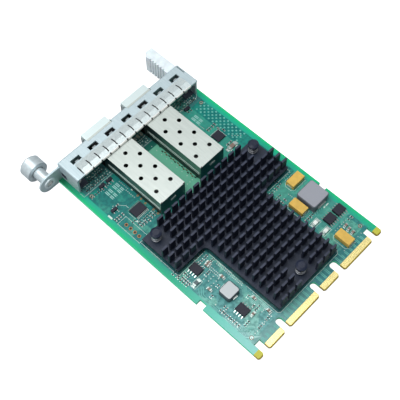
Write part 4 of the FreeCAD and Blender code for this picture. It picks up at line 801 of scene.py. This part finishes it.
def hole_rings():
    """Copper lands round the header holes and larger vias, dark rings in the header holes as
    painted shade, and plating and borders round the corner holes.
    """
    lands = Trim("hole_lands")
    for y in HEADER_ROW:
        lands.ring(HEADER_X, y, *HEADER_LAND, PAD_HEIGHT)
    for x, setback in LARGE_VIAS:
        lands.ring(x * MM, CAGE_REAR + setback * MM, *LARGE_VIA_LAND, PAD_HEIGHT)
    lands.done("gold_plate", COPPER)
    # Dark rings in the header holes: painted shade.
    hole_shade_rings = Trim("header_hole_shade_rings")
    for y in HEADER_ROW:
        hole_shade_rings.ring(HEADER_X, y, *HEADER_HOLE_SHADE, 0.02 * MM)
    hole_shade_rings.done("black_plastic")
    plating = Trim("corner_hole_plating")
    borders = Trim("corner_hole_borders")
    for x, y in CORNER_HOLES:
        plating.ring(x, y, *CORNER_PLATING, PAD_HEIGHT)
        borders.ring(x, y, *CORNER_BORDER, PAD_HEIGHT)
    plating.done("tin_lead", SOLDER)
    borders.done("brown_ceramic", BROWN)


# The row of small parts in the lane: count, start and pitch in mm.
LANE_PARTS, LANE_START, LANE_PITCH = 16, 2.4, 1.3


def lane_parts():
    """Small parts along the foot of the right cage."""
    brown = Trim("lane_capacitors")
    black = Trim("lane_resistors")
    for step in range(LANE_PARTS):
        target = brown if step % 3 else black
        x = LANE_RIGHT - (0.75 + 0.45 * (step % 2) + 0.3 * RNG.random()) * MM
        y = CAGE_REAR + (LANE_START + LANE_PITCH * step) * MM
        target.block((x, y, TOP), (x + 0.5 * MM, y + 0.95 * MM, TOP + 0.4 * MM), 0.08 * MM)
    brown.done("brown_ceramic", BROWN)
    black.done("dark_ceramic")


# The board under the flange, from x to x, and the count, start and pitch of its rows, in mm.
SHELTERED = ((-33.5, -20.2), (-5.0, 3.6), (19.2, 33.5))
SHELTERED_ROWS, SHELTERED_START, SHELTERED_PITCH = 5, 31.2, 1.25
# Share of black chips among the pads.
CHIP_CHANCE = 0.35


def sheltered_parts():
    """Tiny parts and pads on the board under the bracket's flange."""
    pale = Trim("sheltered_pads")
    black = Trim("sheltered_chips")
    for left, right in SHELTERED:
        for row in range(SHELTERED_ROWS):
            x = left + 0.4 * RNG.random()
            while x < right:
                setback = SHELTERED_START + SHELTERED_PITCH * row + 0.3 * RNG.random()
                y = CAGE_REAR + setback * MM
                wide = (0.3 + 0.3 * RNG.random()) * MM
                target = black if RNG.random() < CHIP_CHANCE else pale
                target.plate(x * MM, y, wide, 0.7 * MM - wide / 2, 0.1 * MM)
                x += 0.75 + 0.7 * RNG.random()
    pale.done("tin_lead", SILK)
    black.done("dark_ceramic")


INK_WIDTH = 0.13


def silk_screen():
    """White outlines round parts. There is no lettering."""
    ink = Trim("silk_screen")

    def line(*points, closed=False):
        ink.draw(points, INK_WIDTH, closed)

    def box(node):
        return [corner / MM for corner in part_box(node)]

    front = CAGE_REAR / MM
    line((-36, front + 32.6), (-36, front + 30.2), (-19.8, front + 30.2))
    line((23, front + 31.8), (34.2, front + 31.8), (35.6, front + 33.2))
    line((LANE_LEFT / MM, front + 30.2), (LANE_RIGHT / MM, front + 30.2))
    rear, ahead = front - 2.3, front + 10.7
    line((-35, rear), (-30.2, rear), (-30.2, ahead), (-35, ahead), closed=True)

    # The heat sink: its stem, then its left and right wing.
    left, right = SINK_LOW.x / MM - 0.6, SINK_HIGH.x / MM + 0.6
    rear, ahead = SINK_LOW.y / MM - 0.7, SINK_HIGH.y / MM + 0.7
    stem_left, stem_right, wings = STEM_LEFT / MM, STEM_RIGHT / MM, WINGS_REAR / MM
    line(
        (stem_left - 0.7, wings - 2.7), (stem_left - 0.7, rear + 0.9), (stem_left + 0.2, rear),
        (stem_right - 0.2, rear), (stem_right + 0.7, rear + 0.9), (stem_right + 0.7, wings - 2.7),
    )
    line((left, ahead), (left, wings - 0.7), (stem_left - 2.5, wings - 0.7))
    line((right, ahead), (right, wings - 0.7), (stem_right + 2.5, wings - 0.7))

    for low, high in solids("ceramic_blocks"):
        left, right = low.x / MM - 0.7, high.x / MM + 0.7
        rear, ahead = low.y / MM - 0.5, high.y / MM + 0.5
        line((left, rear), (right, rear), (right, ahead), (left, ahead), closed=True)
    for low, high in solids("tantalum_capacitors"):
        left, right = low.x / MM - 0.8, high.x / MM + 0.3
        rear, ahead = low.y / MM - 0.5, high.y / MM + 0.5
        line(
            (right, rear), (left + 1.2, rear), (left, rear + 1.2),
            (left, ahead - 1.2), (left + 1.2, ahead), (right, ahead),
        )
    for node in ("flash_memory", "power_monitor"):
        low, high = box(node)
        line((low.x, high.y + 0.3), (high.x, high.y + 0.3))
        line((low.x, low.y - 0.3), (high.x, low.y - 0.3))
    low, high = box("port_expander")
    line((low.x - 0.4, low.y), (low.x - 0.4, high.y))
    low, high = box("clock_chip")
    line((low.x, high.y + 0.5), (high.x + 0.5, high.y + 0.5), (high.x + 0.5, low.y))
    line((-31.4, front + 17.2), (-29.0, front + 17.2), (-26.6, front + 14.4), (-26.6, front + 12.8))
    ink.done("white_ceramic", SILK)


def silk_blocks():
    """Small printed rectangles: x, y, width and length in mm."""
    blocks = Trim("silk_blocks")
    front = CAGE_REAR / MM
    for x, y, width, length in (
        (-35.0, front + 15.2, 0.8, 2.4), (28.6, front + 13.0, 0.9, 0.9),
        (24.3, front + 1.6, 1.3, 1.6), (27.3, front + 1.6, 1.3, 1.6),
        (-28.5, front + 5.6, 0.8, 0.8), (-19.4, front + 18.2, 0.8, 0.9),
        (-33.2, 27.4, 0.5, 0.5), (32.0, 24.4, 1.6, 0.5), (30.2, 24.4, 1.0, 0.5),
    ):
        blocks.plate(x * MM, y * MM, width * MM, length * MM, INK_HEIGHT)
    blocks.done("white_ceramic", SILK)


def copper_tracks():
    """Tracks that show through the mask."""
    tracks = Trim("copper_tracks")

    def track(*points):
        tracks.draw(points, 0.22)

    for index in range(3):
        x = -34.9 + 0.75 * index
        track((x, 25.0), (x, 34.6 - 0.5 * index), (x + 2.4, 37.2 - 0.5 * index))
        track((-35.4 + 0.9 * index, 13.6), (-32.2 + 0.9 * index, 10.2))
    for index in range(5):
        x = -22.4 + 0.55 * index
        track((x, 11.4 + 1.1 * index), (x, 22.6), (x + 1.4, 24.2), (x + 1.4, 32.0))
    for index in range(4):
        track((21.4 + 0.7 * index, 26.9), (21.4 + 0.7 * index, 29.0 - 0.3 * index))
    for index in range(5):
        track((24.6 + 1.3 * index, 24.6), (26.0 + 1.3 * index, 26.0))
    tracks.done("solder_mask", TRACE)


def card_edge_tracks():
    """Tracks from half of the edge contacts, longer in the middle of the card."""
    fan_out = Trim("card_edge_tracks")
    for index, (low, high) in enumerate(solids("edge_contacts_top")):
        x = (low.x + high.x) / 2
        if abs(x) < 34.5 * MM and index % 4 < 2:
            ahead = (6.6 if abs(x) < 17.5 * MM else 5.2) * MM
            fan_out.strip([(x, 3.1 * MM), (x, ahead)], 0.3 * MM, INK_HEIGHT)
    fan_out.done("solder_mask", TRACE)


def track_bundles():
    """Two bundles of fine tracks at the rear left of the board."""
    bundle = Trim("track_bundles")
    for index in range(7):
        x = -19.6 - 0.52 * index
        bundle.draw(((x, 9.0 + 1.3 * index), (x, 20.4 - 0.4 * index)), 0.16)
        x = -35.0 + 0.42 * index
        bend = 9.6 - 0.3 * index
        bundle.draw(((x + 1.6, bend - 2.0), (x, bend), (x, 22.0 - 0.9 * index)), 0.14)
    bundle.done("solder_mask", STROKE)


# Strokes beside the cages in two rows: x, then distance from the cages' rear and length, in mm.
STROKES_X = (-28.3, -27.6, -26.5, -25.8, -24.1, -23.4, -22.5, -21.8, 24.3, 25.0, 26.0, 26.7)
STROKES_Y = ((20.6, 2.0), (23.1, 2.4))


def outline_strokes():
    """Rows of short ink strokes on either side of the cages."""
    strokes = Trim("module_outline_strokes")
    for x in STROKES_X:
        for start, length in STROKES_Y:
            y = CAGE_REAR + (start + length / 2) * MM
            strokes.plate(x * MM, y, 0.26 * MM, length * MM, INK_HEIGHT)
    strokes.done("white_ceramic", STROKE)


DOT_ROWS = 21
DOT_COLUMNS = 3
DOT_STEP = 1.22 * MM
DOT_LEFT = 29.6 * MM
DOT_REAR = CAGE_REAR + 2.8 * MM
DOT_RADIUS = 0.46 * MM


def copper_dots():
    """Copper dots inside the right rim, each row shifted against the one before."""
    dots = Trim("copper_dots")
    for row in range(DOT_ROWS):
        shift = DOT_STEP if row % 2 else 0.0
        for column in range(DOT_COLUMNS):
            x = DOT_LEFT + shift + 2 * DOT_STEP * column
            if x < BOARD_HIGH.x - RIM_WIDTH:
                dots.dot(x, DOT_REAR + DOT_STEP * row, DOT_RADIUS, INK_HEIGHT, 8)
    dots.done("solder_mask", TRACE)


# ---------- Bracket, cages, springs and screws ----------

# The finger strip's top over the flange, its fingers, and half the width of the painted shadow in a
# gap at the rear lip.
STRIP_RISE = 1.15 * MM
FINGERS = 13
FINGER_GAP = 0.55 * MM
GAP_SHADOW_HALF = 0.36 * MM


def finger_gap_shade_sheet():
    """Dark sheet on the flange under the finger strip: painted shade, seen between the fingers and
    under the left end of the bow.
    """
    flange_top = STRIP_HIGH.z - STRIP_RISE
    gap_shade = Trim("finger_strip_shade_sheet")
    gap_shade.block(
        (STRIP_LOW.x - 0.3 * MM, STRIP_LOW.y + 1.2 * MM, flange_top),
        (STRIP_HIGH.x, STRIP_HIGH.y - 1.6 * MM, flange_top + 0.04 * MM),
    )
    gap_shade.done("black_plastic")


def finger_gap_shadows():
    """Dark blocks between the fingers at the strip's rear lip: painted shadow in the gaps."""
    low = STRIP_LOW
    pitch = (STRIP_HIGH.x - low.x + FINGER_GAP) / FINGERS
    gap_shadow_marks = Trim("finger_gap_shadow_blocks")
    for index in range(1, FINGERS):
        x = low.x + pitch * index - FINGER_GAP / 2
        gap_shadow_marks.block(
            (x - GAP_SHADOW_HALF, low.y - 0.03 * MM, low.z),
            (x + GAP_SHADOW_HALF, low.y + 0.5 * MM, low.z + 1.0 * MM),
        )
    gap_shadow_marks.done("black_plastic")


def side_slot_shadow_sheet():
    """Dark sheet behind the slot in the bracket's left flank: painted shade seen through the slot.
    """
    pad = Trim("side_slot_shadow_sheet")
    x = -FLANK_INNER + SKIN
    pad.block(
        (x, BRACKET_FRONT - SLOT_REACH - 0.2 * MM, SLOT_FOOT - 0.2 * MM),
        (x + 0.1 * MM, BRACKET_FRONT - BRACKET_SHEET - 0.1 * MM, SLOT_HEAD + 0.4 * MM),
    )
    pad.done("black_plastic")


SEAM_PROUD = 0.1 * MM


def cage_edge_highlights():
    """Lower edges of the cages' covers, along their sides: they stand proud, and their pale ink is
    a painted highlight.
    """
    edge_highlights = Trim("cage_cover_edge_highlights")
    for low, high in CAGES:
        for x in (low.x - SEAM_PROUD, high.x):
            for z, height in ((low.z, 0.42 * MM), (low.z - 0.9 * MM, 0.2 * MM)):
                edge_highlights.block(
                    (x, low.y + 1.0 * MM, z),
                    (x + SEAM_PROUD, FLANGE_REAR - 0.2 * MM, z + height),
                )
    edge_highlights.done("cage_plate", SILK)


def roof_relief_shadows():
    """Dark marks at the rear corners of the cages' roofs, where the sheet is folded: painted shade
    in the reliefs.
    """
    relief_shadows = Trim("cage_roof_relief_shadows")
    for low, high in CAGES:
        for x in (low.x + 0.55 * MM, high.x - 0.55 * MM):
            relief_shadows.plate(x, low.y + 0.3 * MM, 0.9 * MM, 0.5 * MM, 0.01 * MM, high.z)
    relief_shadows.done("black_plastic")


COIL_SIDES = 8
COIL_STEPS = 20
# Radius of each spring's wire and number of its turns.
SINK_WIRE, SINK_TURNS = 0.25 * MM, 3
RELEASE_WIRE, RELEASE_TURNS = 0.15 * MM, 5
# Width of the coils under the heat sink's screws as a share of the CAD springs' width.
SINK_COIL_SHARE = 0.86


def wind(trim, place, mean, wire, length, turns):
    """Winds round wire into a coil; place gives a point from an angle, an arm and a level."""
    before = None
    for step in range(turns * COIL_STEPS + 1):
        turn = 2 * math.pi * step / COIL_STEPS
        level = wire + (length - 2 * wire) * step / (turns * COIL_STEPS)
        loop = []
        for side in range(COIL_SIDES):
            lean = 2 * math.pi * side / COIL_SIDES
            corner = place(turn, mean + wire * math.cos(lean), level + wire * math.sin(lean))
            loop.append(trim.mesh.verts.new(corner))
        if before:
            trim.join(before, loop)
        else:
            trim.mesh.faces.new(loop[::-1])
        before = loop
    trim.mesh.faces.new(before)
    for face in trim.mesh.faces:
        face.smooth = True


def sink_springs():
    """Round-wire springs under the heat sink's screw heads."""
    springs = Trim("heat_sink_round_springs")
    for low, high in solids("heat_sink_springs"):
        x, y = (low.x + high.x) / 2, (low.y + high.y) / 2

        def place(turn, arm, level):
            return x + arm * math.cos(turn), y + arm * math.sin(turn), low.z + level

        mean = SINK_COIL_SHARE * (high.x - low.x) / 2 - SINK_WIRE
        wind(springs, place, mean, SINK_WIRE, high.z - low.z, SINK_TURNS)
    piece = springs.done("spring_steel")
    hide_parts("heat_sink_springs")


def release_spring():
    """Round-wire spring in the thumbscrew's ferrule, pressed together as the screw goes home."""
    spring = Trim("thumbscrew_round_spring")
    low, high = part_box("thumbscrew_spring")
    x, z = (low.x + high.x) / 2, (low.z + high.z) / 2
    length = high.y - low.y

    def place(turn, arm, level):
        return x + arm * math.cos(turn), low.y + level, z + arm * math.sin(turn)

    mean = (high.x - low.x) / 2 - RELEASE_WIRE
    wind(spring, place, mean, RELEASE_WIRE, length, RELEASE_TURNS)
    piece = spring.done("spring_steel", body="thumbscrew_slider")
    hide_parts("thumbscrew_spring")
    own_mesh(piece)


def screw_recesses():
    """Rim and hexagon socket in each heat-sink screw's head."""
    rims = Trim("screw_head_rims")
    sockets = Trim("screw_head_sockets")
    for low, high in solids("heat_sink_screws"):
        x, y = (low.x + high.x) / 2, (low.y + high.y) / 2
        rims.ring(x, y, 0.72 * MM, 1.05 * MM, 0.05 * MM, high.z, 24)
        sockets.dot(x, y, 0.7 * MM, 0.01 * MM, 6, high.z)
    rims.done("black_screw")
    sockets.done("black_screw")


# ---------- Stage, light and camera ----------

FLOOR_HALF = 3.0


def floor():
    """Paper at the card's lowest level: it glows for the camera, apart from under the board."""
    data = bpy.data.meshes.new("floor")
    half, level = FLOOR_HALF, cad_box[0][2]
    outline = ((-half, -half), (half, -half), (half, half), (-half, half))
    data.from_pydata([(x, y, level) for x, y in outline], [], [(0, 1, 2, 3)])
    stand = bpy.data.objects.new("floor", data)
    bpy.context.scene.collection.objects.link(stand)
    paper = Finish("floor_paper", (150, 152, 154), roughness=0.9)
    paper.shader.inputs["Emission Color"].default_value = (1, 1, 1, 1)
    seen = paper.add("LightPath").outputs["Is Camera Ray"]
    x, y, _ = paper.axes()
    across = paper.between(x, BOARD_LOW.x + RIM_WIDTH, BOARD_HIGH.x - RIM_WIDTH)
    along = paper.between(y, SINK_LOW.y, BOARD_HIGH.y - 2 * MM)
    beneath = paper.maths("SUBTRACT", 1.0, paper.times(across, along))
    paper.drive("Emission Strength", paper.times(seen, beneath))
    data.materials.append(paper.material)


SKY_COLOUR = (0.93, 0.97, 1.0, 1.0)
SKY_STRENGTH = 0.3
# Square lamps aimed at the middle of the card: name, place, width in metres and power in watts.
LAMP_AIM = Vector((0.0, 0.06, 0.0))
LAMPS = (
    ("overhead", (-0.10, 0.16, 0.60), 0.5, 3.7),
    ("side", (-0.50, 0.10, 0.22), 0.35, 0.9),
    ("fill", (0.50, 0.10, 0.30), 0.35, 0.6),
)


def lights():
    """Three area lamps and an even, slightly blue surrounding."""
    world = bpy.data.worlds.new("studio")
    bpy.context.scene.world = world
    world.use_nodes = True
    background = world.node_tree.nodes["Background"]
    background.inputs["Color"].default_value = SKY_COLOUR
    background.inputs["Strength"].default_value = SKY_STRENGTH
    for name, place, width, power in LAMPS:
        data = bpy.data.lights.new(name, "AREA")
        data.shape = "SQUARE"
        data.size = width
        data.energy = power
        lamp = bpy.data.objects.new(name, data)
        lamp.location = place
        lamp.rotation_euler = (LAMP_AIM - Vector(place)).to_track_quat("-Z", "Y").to_euler()
        bpy.context.scene.collection.objects.link(lamp)
    bpy.context.scene.view_settings.view_transform = "Standard"


# The view: azimuth, elevation and roll in degrees, distance and aim in metres.
VIEW_AZIMUTH = -45.28
VIEW_ELEVATION = 60.72
VIEW_ROLL = -1.063
VIEW_DISTANCE = 0.34935
VIEW_AIM = Vector((-0.00323, 0.06459, 0.0))
# The lens, in mm.
SENSOR_WIDTH = 36.0
FOCAL_LENGTH = 74.53
CLIP_START = 0.01
CLIP_END = 20


def camera():
    """A camera with the photo's view of the card."""
    azimuth = math.radians(VIEW_AZIMUTH)
    elevation = math.radians(VIEW_ELEVATION)
    roll = math.radians(VIEW_ROLL)
    ahead = Vector((
        -math.sin(azimuth) * math.cos(elevation),
        math.cos(azimuth) * math.cos(elevation),
        -math.sin(elevation),
    ))
    level = Vector((math.cos(azimuth), math.sin(azimuth), 0.0))
    upright = level.cross(ahead)
    right = level * math.cos(roll) + upright * math.sin(roll)
    up = upright * math.cos(roll) - level * math.sin(roll)
    data = bpy.data.cameras.new("camera")
    data.sensor_width = SENSOR_WIDTH
    data.lens = FOCAL_LENGTH
    data.clip_start = CLIP_START
    data.clip_end = CLIP_END
    eye = bpy.data.objects.new("camera", data)
    turn = Matrix((right, up, -ahead)).transposed().to_4x4()
    eye.matrix_world = Matrix.Translation(VIEW_AIM - ahead * VIEW_DISTANCE) @ turn
    bpy.context.scene.collection.objects.link(eye)
    bpy.context.scene.camera = eye


dress_nodes()
end_caps()
bare_pads()
vias()
hole_rings()
lane_parts()
sheltered_parts()
silk_screen()
silk_blocks()
copper_tracks()
card_edge_tracks()
track_bundles()
outline_strokes()
copper_dots()
finger_gap_shade_sheet()
finger_gap_shadows()
side_slot_shadow_sheet()
cage_edge_highlights()
roof_relief_shadows()
sink_springs()
release_spring()
screw_recesses()
floor()
lights()
camera()
